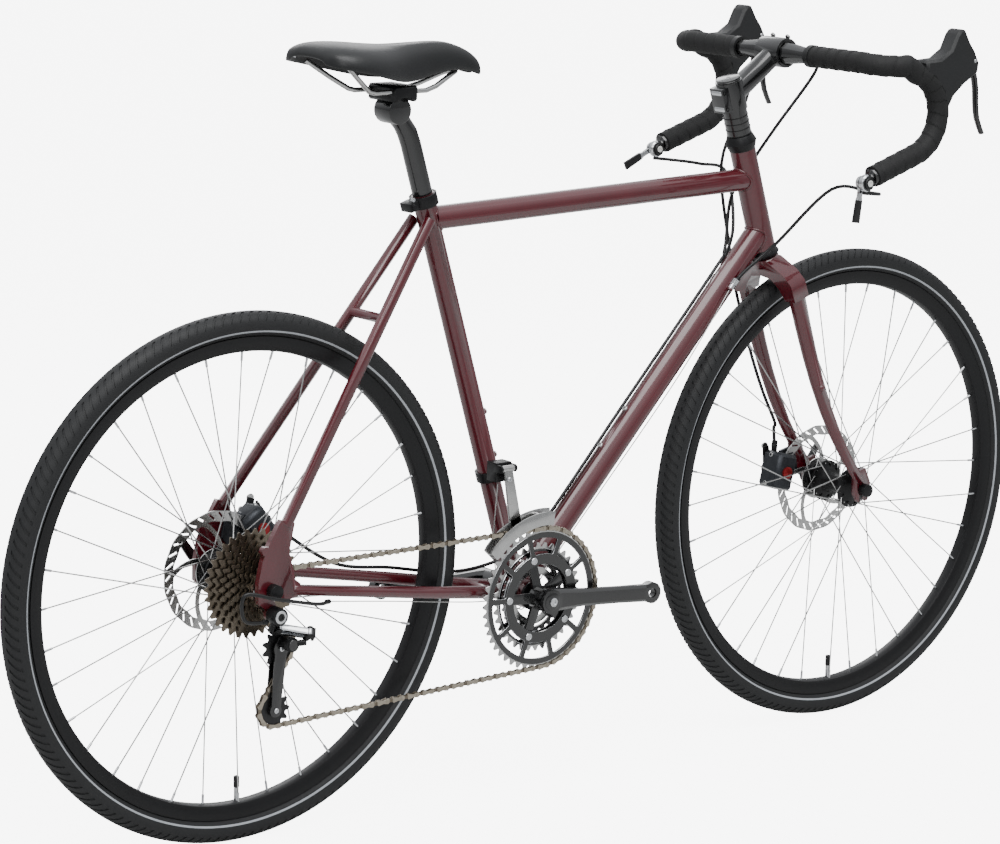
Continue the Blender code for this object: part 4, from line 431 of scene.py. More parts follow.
def placed(obj, material, body, angle=40):
    """Gives a finished piece its material and shading and lets it ride on a body."""
    if material is not None:
        obj.data.materials.clear()
        obj.data.materials.append(material)
    smooth(obj, angle)
    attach(obj, body)
    return obj


def stands_for(obj, node, material, angle=40):
    """A new piece takes a node's place, on the same body."""
    placed(obj, material, BODY_OF[node], angle)
    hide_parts(node)
    return obj


def merged_copy(node, name):
    """A CAD node's mesh with its doubles merged and its flat faces joined."""
    copy = frame["nodes"][node].copy()
    copy.data = copy.data.copy()
    copy.name = name
    copy.parent = None
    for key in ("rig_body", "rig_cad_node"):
        del copy[key]
    bpy.context.scene.collection.objects.link(copy)
    edit(copy)
    bpy.ops.mesh.remove_doubles(threshold=0.01 * MM)
    bpy.ops.mesh.dissolve_limited(angle_limit=radians(0.8))
    bpy.ops.mesh.select_all(action="SELECT")
    bpy.ops.mesh.normals_make_consistent(inside=False)
    bpy.ops.object.mode_set(mode="OBJECT")
    return copy


def dressed(node, material, bevel=0.0, angle=40, segments=2):
    """The node's own shape with soft edges."""
    copy = merged_copy(node, node + "_finished")
    if bevel:
        softened(copy, bevel * MM, segments, angle)
    return stands_for(copy, node, material, angle)

# %% The frame and fork in enamel
TUBES = ("head_tube", "top_tube", "down_tube", "seat_tube", "rear_stays", "fork")
for node in TUBES:
    dressed(node, enamel, angle=50)
print("tubes dressed:", len(TUBES))

# %% [markdown]
# ## Tyres
# The real tyre is a moulded carcass with a directional tread of slanted slits and a thin reflective
# band just above the rim. The section is spun round the axle in many narrow and wide steps, the
# rows near the crown are then turned back a little with their distance from the middle, and the
# narrow rows of faces are sunk to become the slits.

# %% Tyres
TYRE_STEPS = 320
TYRE_HALF = (
    (0.3113, 0.0092), (0.3160, 0.0094), (0.3178, 0.0122), (0.3204, 0.0146), (0.3222, 0.0161),
    (0.3246, 0.0174), (0.3285, 0.0185), (0.3325, 0.0187), (0.3366, 0.0179), (0.3402, 0.0161),
    (0.3432, 0.0136), (0.3454, 0.0108), (0.3469, 0.0075), (0.3477, 0.0040),
)
BAND = (0.3222, 0.3246)
SLIT_R, SLIT_FROM_MIDDLE, SLIT_DEPTH = 0.3376, 0.0036, 1.1 * MM


def tyre_section():
    """The closed section: one side, the crown, the other side and the inside."""
    outside = list(TYRE_HALF) + [(0.3480, 0.0)] + [(r, -y) for r, y in reversed(TYRE_HALF)]
    inside = [(0.3200, -0.0085), (0.3330, -0.0145), (0.3435, 0.0), (0.3330, 0.0145), (0.3200, 0.0085)]
    return outside + inside


def slanted(obj, axle):
    """Narrows every second row and sweeps the rows back towards the shoulders."""
    step = 2 * pi / TYRE_STEPS
    for vertex in obj.data.vertices:
        arm = vertex.co - axle
        radius = hypot(arm.x, arm.z)
        if radius < 0.3362:
            continue
        angle = atan2(arm.z, arm.x)
        row = round(angle / step)
        swept = 2.6 * step * (abs(arm.y) / 0.018) ** 1.3
        turn = (row * step - angle) + (0.34 * step if row % 2 else 0.0) + swept
        vertex.co = axle + flat(angle + turn, radius) + Y * arm.y


def make_tyre(node, axle):
    """One tyre with sunk slits and a reflective band on both sides."""
    tyre = turned(node + "_moulded", tyre_section(), axle, Y, TYRE_STEPS)
    step = 2 * pi / TYRE_STEPS
    tyre.data.materials.clear()
    tyre.data.materials.append(tyre_rubber)
    tyre.data.materials.append(reflector)
    slits = []
    for face in tyre.data.polygons:
        arm = face.center - axle
        radius = hypot(arm.x, arm.z)
        row = int((atan2(arm.z, arm.x) % (2 * pi)) / step)
        slits.append(radius > SLIT_R and abs(arm.y) > SLIT_FROM_MIDDLE and row % 2 == 1)
        if BAND[0] < radius < BAND[1] and abs(arm.y) > 0.0165:
            face.material_index = 1
    slanted(tyre, axle)
    edit(tyre)
    bpy.ops.mesh.select_mode(type="FACE")
    bpy.ops.mesh.select_all(action="DESELECT")
    bpy.ops.object.mode_set(mode="OBJECT")
    for face, chosen in zip(tyre.data.polygons, slits):
        face.select = chosen
    bpy.ops.object.mode_set(mode="EDIT")
    bpy.ops.mesh.inset(thickness=0.15 * MM, depth=-SLIT_DEPTH, use_boundary=True)
    bpy.ops.object.mode_set(mode="OBJECT")
    stands_for(tyre, node, None, 32)
    print(node, len(tyre.data.polygons), "faces,", sum(slits), "sunk")


make_tyre("rear_tyre", REAR)
make_tyre("front_tyre", FRONT)

# %% [markdown]
# ## Rims, spokes and nipples
# The rim is one black extrusion bent into a hoop and joined: a deep box with hooked walls. Each of
# the thirty-six spokes leaves the hub flange forwards or backwards, crosses three others and ends in
# a small brass nipple plated silver. One nipple is turned and copied, each copy on its own spoke.

# %% Rims
RIM_SECTION = (
    (0.3163, 0.0125), (0.3165, 0.0113), (0.3150, 0.0104), (0.3098, 0.0104), (0.3090, 0.0),
    (0.3098, -0.0104), (0.3150, -0.0104), (0.3165, -0.0113), (0.3163, -0.0125), (0.3100, -0.0123),
    (0.3020, -0.0110), (0.2982, -0.0092), (0.2967, -0.0058), (0.2965, 0.0), (0.2967, 0.0058),
    (0.2982, 0.0092), (0.3020, 0.0110), (0.3100, 0.0123),
)
for node, axle in (("rear_rim", REAR), ("front_rim", FRONT)):
    rim = turned(node + "_extruded", RIM_SECTION, axle, Y, 144)
    stands_for(rim, node, anodised, 25)

# %% Spokes and nipples
SPOKE_HOLES = 36
FLANGE_HOLE_R = 26.8 * MM
SPOKE_END_R = 290 * MM


def spoke_lines(axle, right_flange, left_flange):
    """Each spoke's bend at the flange, its root and its end at the rim."""
    lines = []
    for side, flange in enumerate((right_flange, left_flange)):
        away = 1 if flange > 0 else -1
        for k in range(SPOKE_HOLES // 2):
            lean = 1 if k % 2 else -1
            at_flange = 2 * pi * (k + 0.5 * side) / 18
            at_rim = at_flange + lean * 6 * pi / 18
            hole = axle + Vector((sin(at_flange), 0, cos(at_flange))) * FLANGE_HOLE_R
            end = axle + Vector((sin(at_rim), 0, cos(at_rim))) * SPOKE_END_R
            root = hole + Y * (flange + lean * 2.4 * MM)
            end += Y * (away * 3.5 + lean * 0.8) * MM
            lines.append([hole + Y * (flange - lean * 2.6 * MM), root, end])
    return lines


def nipple_at(start, end):
    """The move that lays a nipple modelled along Z at the origin onto a spoke's end."""
    along = (end - start).normalized()
    return Matrix.Translation(end) @ along.to_track_quat("Z", "Y").to_matrix().to_4x4()


WHEELS = {
    "rear": (REAR, -20.5 * MM, 33.5 * MM, "rear_wheel"),
    "front": (FRONT, -34.0 * MM, 20.8 * MM, "front_wheel"),
}
NIPPLE = ((0, -5.5), (1.4, -5.5), (1.7, -4.6), (1.7, 5.2), (2.2, 6.2), (2.2, 8.0), (0, 8.0))
for name, (axle, right_flange, left_flange, body) in WHEELS.items():
    lines = spoke_lines(axle, right_flange, left_flange)
    spokes = bent(name + "_spokes", lines, 1.0 * MM, 6)
    placed(spokes, stainless, body, 60)
    model = turned("nipple", mm(NIPPLE), Vector(), Z, 8)
    nipples = repeated(name + "_nipples", model, [nipple_at(line[1], line[2]) for line in lines])
    placed(nipples, polished, body, 50)
    print(name, len(lines), "spokes")

# %% Valves
for name, (axle, _, _, body) in WHEELS.items():
    spot = axle - Z * 296 * MM
    stem_part = knob(name + "_valve_stem", spot, Z, 3.2 * MM, -4 * MM, 19 * MM, 0.2, 12)
    placed(stem_part, polished, body, 40)
    cap = knob(name + "_valve_cap", spot, Z, 3.9 * MM, 17 * MM, 33 * MM, 0.3, 12)
    placed(cap, plastic, body, 40)

# %% [markdown]
# ## Hubs and brake discs
# A hub is turned from one bar: two wide flanges, a slim barrel, and on the rear one a toothed body
# for the cassette. Round windows between the spoke holes save weight. The brake disc is cut from
# stainless sheet by laser, with slanted slots through its track and five curved arms.

# %% Hubs
REAR_HUB = (
    (5.4, -66.0), (8.5, -66.0), (8.5, -64.5), (16.2, -64.5), (16.2, -27.0), (20.0, -24.5),
    (29.4, -22.1), (30.2, -21.5), (30.2, -19.5), (29.4, -18.9), (24.0, -18.4), (18.6, -15.5),
    (16.6, -9.0), (16.2, 6.0), (16.6, 22.0), (18.6, 28.5), (24.0, 31.4), (29.4, 31.9), (30.2, 32.5),
    (30.2, 34.5), (29.4, 35.1), (20.0, 37.6), (19.4, 44.5), (24.6, 46.8), (24.6, 50.9),
    (21.9, 50.9), (21.9, 54.0), (10.5, 58.0), (8.5, 66.0), (5.4, 66.0),
)
FRONT_HUB = (
    (5.4, -48.4), (8.6, -48.4), (11.0, -44.0), (18.0, -39.0), (29.4, -35.6), (30.2, -35.0),
    (30.2, -33.0), (29.4, -32.4), (20.0, -31.2), (16.0, -26.0), (13.6, -18.0), (13.2, -6.0),
    (13.6, 6.0), (17.0, 14.5), (24.0, 18.9), (29.4, 19.2), (30.2, 19.8), (30.2, 21.8), (29.4, 22.4),
    (20.0, 25.2), (19.4, 31.8), (24.6, 34.1), (24.6, 38.2), (21.9, 38.2), (21.9, 41.4),
    (10.5, 44.4), (8.5, 48.4), (5.4, 48.4),
)
for name, profile in (("rear", REAR_HUB), ("front", FRONT_HUB)):
    axle, right_flange, left_flange, body = WHEELS[name]
    hub = turned(name + "_hub_turned", mm(profile), axle, Y, 48)
    for flange in (right_flange, left_flange):
        pin = knob("window", axle + X * 23 * MM + Y * flange, Y, 2.6 * MM, -4 * MM, 4 * MM, 0.1, 10)
        cut(hub, repeated("windows", pin, [about(axle, Y, 2 * pi * k / 9) for k in range(9)]))
    stands_for(hub, name + "_hub", anodised, 30)
    print(name, "hub", len(hub.data.polygons), "faces")

# %% Brake discs
DISC_OUT, DISC_IN = 80 * MM, 65.5 * MM
REAR_DISC_Y, FRONT_DISC_Y = 52.2 * MM, 39.5 * MM


def disc_slot(axle, y):
    """The cutter for one slanted slot of the track."""
    low = axle + flat(0.0, 68.0 * MM) + flat(pi / 2, -5 * MM)
    high = axle + flat(0.0, 77.3 * MM) + flat(pi / 2, 4 * MM)
    across = (high - low).normalized().cross(Y) * 1.35 * MM
    corners = [low - across, low + across, high + across, high - across]
    return sheet("slot", [corner + Y * (y - 3 * MM) for corner in corners], Y * 6 * MM)


def disc_arm(axle, y, start):
    """One curved arm from the middle ring to the track."""
    left, right_side = [], []
    for step in range(7):
        share = step / 6
        middle = axle + flat(start + 0.62 * share, (27 + 41.5 * share) * MM)
        ahead = axle + flat(start + 0.62 * (share + 0.05), (27 + 41.5 * (share + 0.05)) * MM)
        side = (ahead - middle).normalized().cross(Y) * (3.6 - 2.6 * share * (1 - share)) * MM
        left.append(middle - side + Y * (y - 0.85 * MM))
        right_side.append(middle + side + Y * (y - 0.85 * MM))
    return sheet("arm", left + right_side[::-1], Y * 1.7 * MM)


def disc_loop(axle, y, radius, wave, count):
    """A loop that waves in and out fifteen times."""
    loop = []
    for k in range(count):
        angle = 2 * pi * k / count
        loop.append(axle + flat(angle, radius + wave * cos(15 * angle)) + Y * y)
    return loop


def brake_disc(name, axle, y, body):
    """A waved ring with slanted slots, five swept arms and a middle ring with six bolts."""
    low = y - 0.9 * MM
    outer = disc_loop(axle, low, DISC_OUT - 0.5 * MM, 0.5 * MM, 120)
    inner = disc_loop(axle, low, DISC_IN, 0.9 * MM, 120)
    track = sheet_ring(name + "_track", outer, inner, Y * 1.8 * MM)
    cut(track, repeated("slots", disc_slot(axle, y), [about(axle, Y, 2 * pi * k / 30) for k in range(30)]))
    arms = [disc_arm(axle, y, 2 * pi * k / 5) for k in range(5)]
    ring_out = disc_loop(axle, y - 0.95 * MM, 30.5 * MM, 0, 48)
    ring_in = disc_loop(axle, y - 0.95 * MM, 22.9 * MM, 0, 48)
    arms.append(sheet_ring("middle", ring_out, ring_in, Y * 1.9 * MM))
    disc = joined(name + "_cut", [track] + arms)
    softened(disc, 0.15 * MM, 1)
    stands_for(disc, name, stainless, 30)
    head = socket_bolt("bolt", axle + X * 26.7 * MM + Y * (y + 0.9 * MM), Y, 3.4 * MM, 2.2 * MM)
    bolts = repeated(name + "_bolts", head, [about(axle, Y, 2 * pi * k / 6) for k in range(6)])
    placed(bolts, dark_steel, body, 40)


brake_disc("rear_rotor", REAR, REAR_DISC_Y, "rear_wheel")
brake_disc("front_rotor", FRONT, FRONT_DISC_Y, "front_wheel")

# %% [markdown]
# ## Cranks and chainrings
# The crankset is forged aluminium under black lacquer. Its three rings are cut from plate: the outer
# one is black with ten windows whose chamfered rims are left bright, and its teeth are bare metal.
# A ring is drawn as two loops with the same number of corners, bridged, and given its thickness.

# %% Toothed outlines
CHAIN_PITCH = 12.7 * MM


def pitch_radius(teeth):
    """The circle that the chain's pins lie on."""
    return CHAIN_PITCH / (2 * sin(pi / teeth))


def teeth_loop(centre, y, teeth, start=0.0):
    """A loop with rounded hooks and teeth: six corners for each tooth."""
    middle = pitch_radius(teeth)
    shape = ((0.0, 2.6), (0.10, 2.5), (0.24, -0.6), (0.38, -3.5), (0.62, -3.5), (0.76, -0.6), (0.90, 2.5))
    points = []
    for k in range(teeth):
        for share, rise in shape:
            angle = start + 2 * pi * (k + share) / teeth
            points.append(Vector((centre.x, y, centre.z)) + flat(angle, middle + rise * MM))
    return points


def round_loop(centre, y, radius, count, start=0.0):
    """A circle with a given number of corners."""
    middle = Vector((centre.x, y, centre.z))
    return [middle + flat(start + 2 * pi * k / count, radius) for k in range(count)]


def sprocket(name, centre, y, teeth, hole, thickness=1.8 * MM):
    """A toothed ring of sheet, centred on y."""
    low = y - thickness / 2
    outer = teeth_loop(centre, low, teeth)
    return sheet_ring(name, outer, round_loop(centre, low, hole, len(outer)), Y * thickness)


# %% Chainrings
CRANK_TURN = radians(-3.4)
RING_Y = {"outer": -52.5 * MM, "middle": -44.5 * MM, "inner": -36.5 * MM}


def ring_windows(centre, y, inner, outer, count, rib, turn):
    """Rounded openings between two radii, with ribs of a given width between them."""
    span = 2 * pi / count
    points = []
    for radius, steps in ((inner, 5), (outer, 9)):
        half = span / 2 - rib / 2 / radius
        arc = [turn - half + 2 * half * k / (steps - 1) for k in range(steps)]
        row = [centre + flat(a, radius) for a in arc]
        points += row if radius == inner else row[::-1]
    shape = sheet("window", [Vector((p.x, y - 6 * MM, p.z)) for p in points], Y * 12 * MM)
    edit(shape)
    bpy.ops.object.mode_set(mode="OBJECT")
    softened(shape, 2.4 * MM, 3, 50)
    return repeated("windows", shape, [about(centre, Y, span * k) for k in range(count)])


def ring_with_windows(name, y, teeth, hole, inner, outer, count, rib, turn, body_finish):
    """A black or bright web with bright chamfers, and a separate band of bare teeth."""
    low = y - 1.5 * MM
    edge = pitch_radius(teeth) - 5.2 * MM
    rim, bore = round_loop(BB, low, edge, 120), round_loop(BB, low, hole, 120)
    web = sheet_ring(name + "_web", rim, bore, Y * 3 * MM)
    web.data.materials.append(body_finish)
    web.data.materials.append(polished)
    cut(web, ring_windows(BB, y, inner, outer, count, rib, turn))
    softened(web, 0.9 * MM, 1, 40, material=1)
    smooth(web, 25)
    band = sprocket(name + "_teeth", BB, y, teeth, edge - 1 * MM)
    band.data.materials.append(stainless)
    for face in band.data.polygons:
        face.material_index = 0
    both = joined("chainring_" + name + "_cut", [web, band])
    stands_for(both, "chainring_" + name, None, 25)
    print("ring", name, len(both.data.polygons), "faces")


# Name, teeth, bore, window from and to, number of windows, rib (all lengths in mm), and the turn.
for name, teeth, bore, start, end, count, rib, turn, body_finish in (
    ("outer", 48, 47.5, 62, 84, 10, 7.5, CRANK_TURN + radians(18), lacquer),
    ("middle", 36, 47.5, 58.5, 63.5, 10, 9, CRANK_TURN + radians(18), lacquer),
    ("inner", 26, 31, 40.5, 44, 5, 16, CRANK_TURN, stainless),
):
    sizes = (bore * MM, start * MM, end * MM, count, rib * MM)
    ring_with_windows(name, RING_Y[name], teeth, *sizes, turn, body_finish)

# %% Crank arms and their bolts
for node in ("crank_arm_right", "crank_arm_left"):
    dressed(node, lacquer, 1.4, 35, 3)
BOLT_SEAT = ((0, -2), (12.5, -2), (12.5, 0.6), (9.4, 1.4), (0, 1.4))
RING_BOLT = ((0, 0), (5.2, 0), (5.2, 0.9), (4.6, 1.6), (3.4, 1.6), (3.0, 0.8), (0, 0.8))
bolt_at = BB + flat(CRANK_TURN + radians(36), 55 * MM) + Y * -54.0 * MM
model = turned("bolt", mm(RING_BOLT), bolt_at, -Y, 20)
ring_bolts = repeated("chainring_bolts", model, [about(BB, Y, 2 * pi * k / 5) for k in range(5)])
placed(ring_bolts, polished, "crankset", 30)
for side, name in ((-1, "right"), (1, "left")):
    face = BB + Y * side * 79.0 * MM
    washer = turned("crank_bolt_seat_" + name, mm(BOLT_SEAT), face, Y * side, 32)
    placed(washer, lacquer, "crankset", 30)
    bolt = socket_bolt("crank_bolt_" + name, face + Y * side * 1.4 * MM, Y * side, 6.2 * MM, 2.6 * MM)
    placed(bolt, polished, "crankset", 30)

# %% [markdown]
# ## Cassette
# Nine sprockets of hardened steel, from eleven to thirty-four teeth, sit on the hub with spacers
# between them and are held by a lock ring. The three largest have wide windows, so the light shows
# through them.

# %% Cassette
COGS = (11, 13, 15, 17, 20, 23, 26, 30, 34)
stack = []
for i, teeth in enumerate(COGS):
    y = (-62.5 + 4.35 * i) * MM
    hole = 17.1 * MM if teeth < 20 else pitch_radius(teeth) - 13 * MM
    stack.append(sprocket("cog", REAR, y, teeth, hole))
    if teeth >= 20:
        outer, inner = (round_loop(REAR, y - 0.8 * MM, r * MM, 48) for r in (21, 17.1))
        stack.append(sheet_ring("carrier", outer, inner, Y * 1.6 * MM))
        reach = pitch_radius(teeth) - 12 * MM
        for k in range(5):
            turn = 2 * pi * k / 5 + 0.3 * i
            middle = Vector((REAR.x, y - 0.7 * MM, REAR.z))
            corners = ((-0.16, 20 * MM), (0.16, 20 * MM), (0.22, reach), (0.06, reach))
            ends = [middle + flat(turn + lean, radius) for lean, radius in corners]
            stack.append(sheet("arm", ends, Y * 1.4 * MM))
cassette = joined("cassette_stack", stack)
stands_for(cassette, "cassette", dark_steel, 25)
ring_profile = ((17.3, -65.2), (20.5, -65.2), (21.2, -64.6), (21.2, -63.6), (17.3, -63.6))
lock_ring = turned("cassette_lock_ring", mm(ring_profile), REAR, Y, 40)
placed(lock_ring, stainless, "freewheel_cassette", 30)
spacer = ((17.2, -61.2), (19.6, -61.2), (19.6, -28.6), (17.2, -28.6))
sleeve = turned("cassette_spacers", mm(spacer), REAR, Y, 40)
placed(sleeve, plastic, "freewheel_cassette", 30)
print("cassette", len(cassette.data.polygons), "faces")

# %% [markdown]
# ## Chain
# A roller chain is two kinds of link in turn: narrow inner links with rollers, and wide outer links
# with riveted pins. The route is worked out from the wheels it passes, as straight runs that touch
# circles. One link of each kind is modelled and copied along the route at the half-inch pitch.


# %% The chain's route
def straight_run(start, r1, s1, end, r2, s2):
    """The run between two wheels: its ends and heading. The sense is +1 or -1 for each wheel."""
    dx, dz = end.x - start.x, end.z - start.z
    turn = atan2(dz, dx) - acos((s1 * r1 - s2 * r2) / hypot(dx, dz))
    reach = flat(turn)
    return start + reach * (s1 * r1), end + reach * (s2 * r2), turn + pi / 2


UPPER, LOWER = pivot("upper_pulley_spin"), pivot("lower_pulley_spin")
route_wheels = (
    (Vector((BB.x, RING_Y["outer"], BB.z)), pitch_radius(48), -1),
    (LOWER, pitch_radius(11), -1),
    (UPPER, pitch_radius(11), 1),
    (Vector((REAR.x, -62.5 * MM, REAR.z)), pitch_radius(11), -1),
)
runs = []
for i, (centre, radius, sense) in enumerate(route_wheels):
    runs.append(straight_run(centre, radius, sense, *route_wheels[(i + 1) % 4]))
chain_line = []
for i, (centre, radius, sense) in enumerate(route_wheels):
    arrive, leave = runs[i - 1][2], runs[i][2]
    swing = (leave - arrive) % (2 * pi)
    if sense < 0:
        swing -= 2 * pi
    for step in range(49):
        heading = arrive + swing * step / 48
        chain_line.append(centre + flat(heading - pi / 2) * (sense * radius))
lengths = [(b - a).length for a, b in zip(chain_line, chain_line[1:] + chain_line[:1])]
links = 2 * round(sum(lengths) / CHAIN_PITCH / 2)
print("chain", round(sum(lengths), 3), "m,", links, "links")


def along_route(distance):
    """The point at a distance along the closed route."""
    distance %= sum(lengths)
    for start, end, length in zip(chain_line, chain_line[1:] + chain_line[:1], lengths):
        if distance <= length:
            return start.lerp(end, distance / max(length, 1e-9))
        distance -= length
    return chain_line[0].copy()


# %% Links
pins = [along_route(sum(lengths) * k / links) for k in range(links)]


def figure_eight(y, thickness):
    """One side plate, with a waist between its two round ends."""
    half, radius, waist = CHAIN_PITCH / 2, 4.1 * MM, 2.1 * MM
    points = []
    for end in (1, -1):
        for degrees in (-65, -25, 25, 65):
            a = radians(degrees) + (0 if end > 0 else pi)
            points.append(Vector((end * half + radius * cos(a), y, radius * sin(a))))
        points.append(Vector((0, y, waist * end)))
    return sheet("plate", points, Y * thickness)


def roller(x, radius, half):
    """A plain pin or roller, x along the link."""
    profile = ((0, -half), (radius, -half), (radius, half), (0, half))
    return turned("roller", profile, Vector((x, 0, 0)), Y, 8)


half = CHAIN_PITCH / 2
narrow = [figure_eight(1.25 * MM, 0.85 * MM), figure_eight(-2.10 * MM, 0.85 * MM)]
narrow += [roller(-half, 3.5 * MM, 1.2 * MM), roller(half, 3.5 * MM, 1.2 * MM)]
wide = [figure_eight(2.2 * MM, 0.85 * MM), figure_eight(-3.05 * MM, 0.85 * MM)]
wide += [roller(-half, 1.7 * MM, 3.3 * MM), roller(half, 1.7 * MM, 3.3 * MM)]
places = []
for start, end in zip(pins, pins[1:] + pins[:1]):
    along = (end - start).normalized()
    outwards = along.cross(Y).normalized()
    turn = Matrix((along, outwards.cross(along), outwards)).transposed().to_4x4()
    places.append(Matrix.Translation((start + end) / 2) @ turn)
inner_links = repeated("chain_inner_links", joined("narrow_link", narrow), places[0::2])
outer_links = repeated("chain_outer_links", joined("wide_link", wide), places[1::2])
placed(inner_links, dark_steel, "frame", 35)
placed(outer_links, nickel, "frame", 35)
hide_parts("chain")
print("chain faces", len(inner_links.data.polygons) + len(outer_links.data.polygons))

# %% [markdown]
# ## Rear derailleur
# Two knuckles and two parallel links carry the long cage with its two toothed pulleys. The two
# links are polished and the rest is black. The parts keep their CAD shape; the pulleys get teeth,
# and the pivots get their bolt heads and rings.

# %% Derailleur parts
BUSH = ((2.9, -3.2), (7.0, -3.2), (7.6, -1.5), (7.6, 1.5), (7.0, 3.2), (2.9, 3.2))
for name, centre in (("guide_pulley", UPPER), ("tension_pulley", LOWER)):
    wheel = sprocket(name + "_teeth", centre, centre.y, 11, 6.5 * MM, 2.2 * MM)
    bush = turned(name + "_bush", mm(BUSH), centre, Y, 20)
    stands_for(joined(name + "_wheel", [wheel, bush]), name, plastic, 30)
hanger, cage_pivot = pivot("rd_body_swing"), pivot("rd_cage_swing")
hanger_face = Vector((hanger.x, -93.0 * MM, hanger.z))
MOUNT_RING = ((5.2, 0), (8.6, 0), (8.6, 1.0), (7.6, 1.7), (5.2, 1.7))
ring = turned("derailleur_mount_ring", mm(MOUNT_RING), hanger_face, -Y, 28)
placed(ring, polished, "rd_upper_knuckle", 30)
head = socket_bolt("derailleur_mount_bolt", hanger_face, -Y, 5.0 * MM, 1.4 * MM)
placed(head, plastic, "rd_upper_knuckle", 30)
cap_face = Vector((cage_pivot.x, -88.0 * MM, cage_pivot.z))
cap = knob("cage_pivot_cap", cap_face, -Y, 7.4 * MM, -0.5 * MM, 1.6 * MM)
placed(cap, lacquer, "rd_lower_knuckle", 30)
for name, centre in (("upper", UPPER), ("lower", LOWER)):
    cage_face = Vector((centre.x, -69.4 * MM, centre.z))
    bolt = socket_bolt("pulley_bolt_" + name, cage_face, -Y, 3.6 * MM, 2.4 * MM)
    placed(bolt, polished, "rd_chain_cage", 30)
print("derailleur details done")

# %% [markdown]
# ## Front derailleur
# Two curved steel plates, the cage, follow the outer ring a couple of millimetres above its teeth and
# push the chain across. An arm carries them from the black body on the seat tube.


# %% Front derailleur cage
def crescent(name, y, low_r, high_r, thickness):
    """One cage plate: a band round the crank axis that narrows into a tail."""
    lower = [BB + flat(radians(a), low_r) for a in range(82, 139, 4)]
    upper = [BB + flat(radians(a), high_r) for a in range(138, 79, -4)]
    tail = [BB + flat(radians(142), low_r + 3 * MM), BB + flat(radians(141), high_r - 1 * MM)]
    points = [Vector((p.x, y, p.z)) for p in lower + tail + upper]
    plate_piece = sheet(name, points, Y * thickness)
    return softened(plate_piece, 0.5 * MM, 2, 50)


hinge = pivot("front_derailleur_swing")
outer_plate = crescent("outer_plate", -60.0 * MM, 102.5 * MM, 121 * MM, 1.5 * MM)
inner_plate = crescent("inner_plate", -47.5 * MM, 95 * MM, 124 * MM, 1.5 * MM)
bridges = []
for angle, radius in ((96, 119), (140, 108)):
    spot = BB + flat(radians(angle), radius * MM)
    bridges.append(knob("bridge", spot, Y, 2.6 * MM, -59.5 * MM, -46.5 * MM, 0.2, 14))
arm_top = Vector((hinge.x, -45.5 * MM, hinge.z))
foot = BB + flat(radians(112), 112 * MM)
arm_foot = Vector((foot.x, -45.5 * MM, foot.z))
side_step = X * 7 * MM
arm_points = [arm_top - side_step, arm_foot - side_step * 1.3]
arm_points += [arm_foot + side_step * 1.6, arm_top + side_step]
arm = sheet("arm", [p - Y * 2 * MM for p in arm_points], Y * 4 * MM)
softened(arm, 1.0 * MM, 2, 50)
hub_piece = knob("hub", hinge, X, 4.6 * MM, -10 * MM, 10 * MM, 0.2, 16)
cage = joined("front_derailleur_plates", [outer_plate, inner_plate, arm, hub_piece] + bridges)
stands_for(cage, "front_derailleur_cage", stainless, 30)
band_spot = BB + SEAT_DIR * 178 * MM
clamp_at = band_spot + X * 19 * MM - Y * 7 * MM
clamp_bolt = socket_bolt("derailleur_clamp_bolt", clamp_at, -Y, 3.2 * MM, 3 * MM)
placed(clamp_bolt, polished, "frame", 30)
anchor_at = hinge + Vector((0, -3.5 * MM, -14 * MM))
wire_anchor = socket_bolt("wire_anchor_bolt", anchor_at, -Y, 3.4 * MM, 3 * MM)
placed(wire_anchor, polished, "front_derailleur", 30)

# %% [markdown]
# ## Handlebar tape
# The foam ribbon is wound from the bar's end towards the stem, each turn lapping the last by a third.
# The lap shows as a raised edge that spirals round the bar, so the tape is a tube whose radius is a
# saw-tooth of the distance along the bar and the angle round it. It follows the bar's own curve.

# %% The bar's curve
BAR_CENTRE = Vector((0.3759, 0, 0.9887))
HOOK_CENTRE = BAR_CENTRE + Vector((49 * MM, 0, -70 * MM))
HALF_BAR = 217 * MM


def bar_curve(side):
    """The centre line from the start of the tape to the bar's end, on one side."""
    points = [BAR_CENTRE + Y * y * MM for y in (75, 102, 129, 152, 172)]
    for k in range(1, 7):
        turn = k * pi / 12
        bend = Vector((1 - cos(turn), sin(turn), 0)) * 45 * MM
        points.append(BAR_CENTRE + Y * 172 * MM + bend - Z * 3 * MM * sin(turn))
    for k in range(13):
        turn = radians(80 - 152 * k / 12)
        points.append(HOOK_CENTRE + flat(turn, 58 * MM) + Y * HALF_BAR)
    tail = Vector((sin(radians(-72)), 0, -cos(radians(-72))))
    last = points[-1]
    points += [last + tail * d * MM for d in (20, 42, 64, 85)]
    return [Vector((p.x, side * p.y, p.z)) for p in rounded(points, 4)]


def spaced(line, step):
    """The same line with points at equal distances."""
    made, carry = [line[0]], 0.0
    for start, end in zip(line, line[1:]):
        length = (end - start).length
        place = step - carry
        while place <= length:
            made.append(start.lerp(end, place / length))
            place += step
        carry = length - (place - step)
    return made


# %% Winding the tape
LAP = 21 * MM
TAPE_SIDES = 28
TAPE_STEP = 1.75 * MM


def tape_row(point, ahead, across, i, side):
    """One row of the sleeve: its radius grows along each lap and drops at the next edge."""
    other = ahead.cross(across)
    row = []
    for k in range(TAPE_SIDES):
        turn = 2 * pi * k / TAPE_SIDES
        phase = (i * TAPE_STEP / LAP - side * turn / (2 * pi)) % 1
        radius = (14.6 + 1.0 * phase - (0.5 if phase < 0.06 else 0)) * MM
        row.append(point + (across * cos(turn) + other * sin(turn)) * radius)
    return row


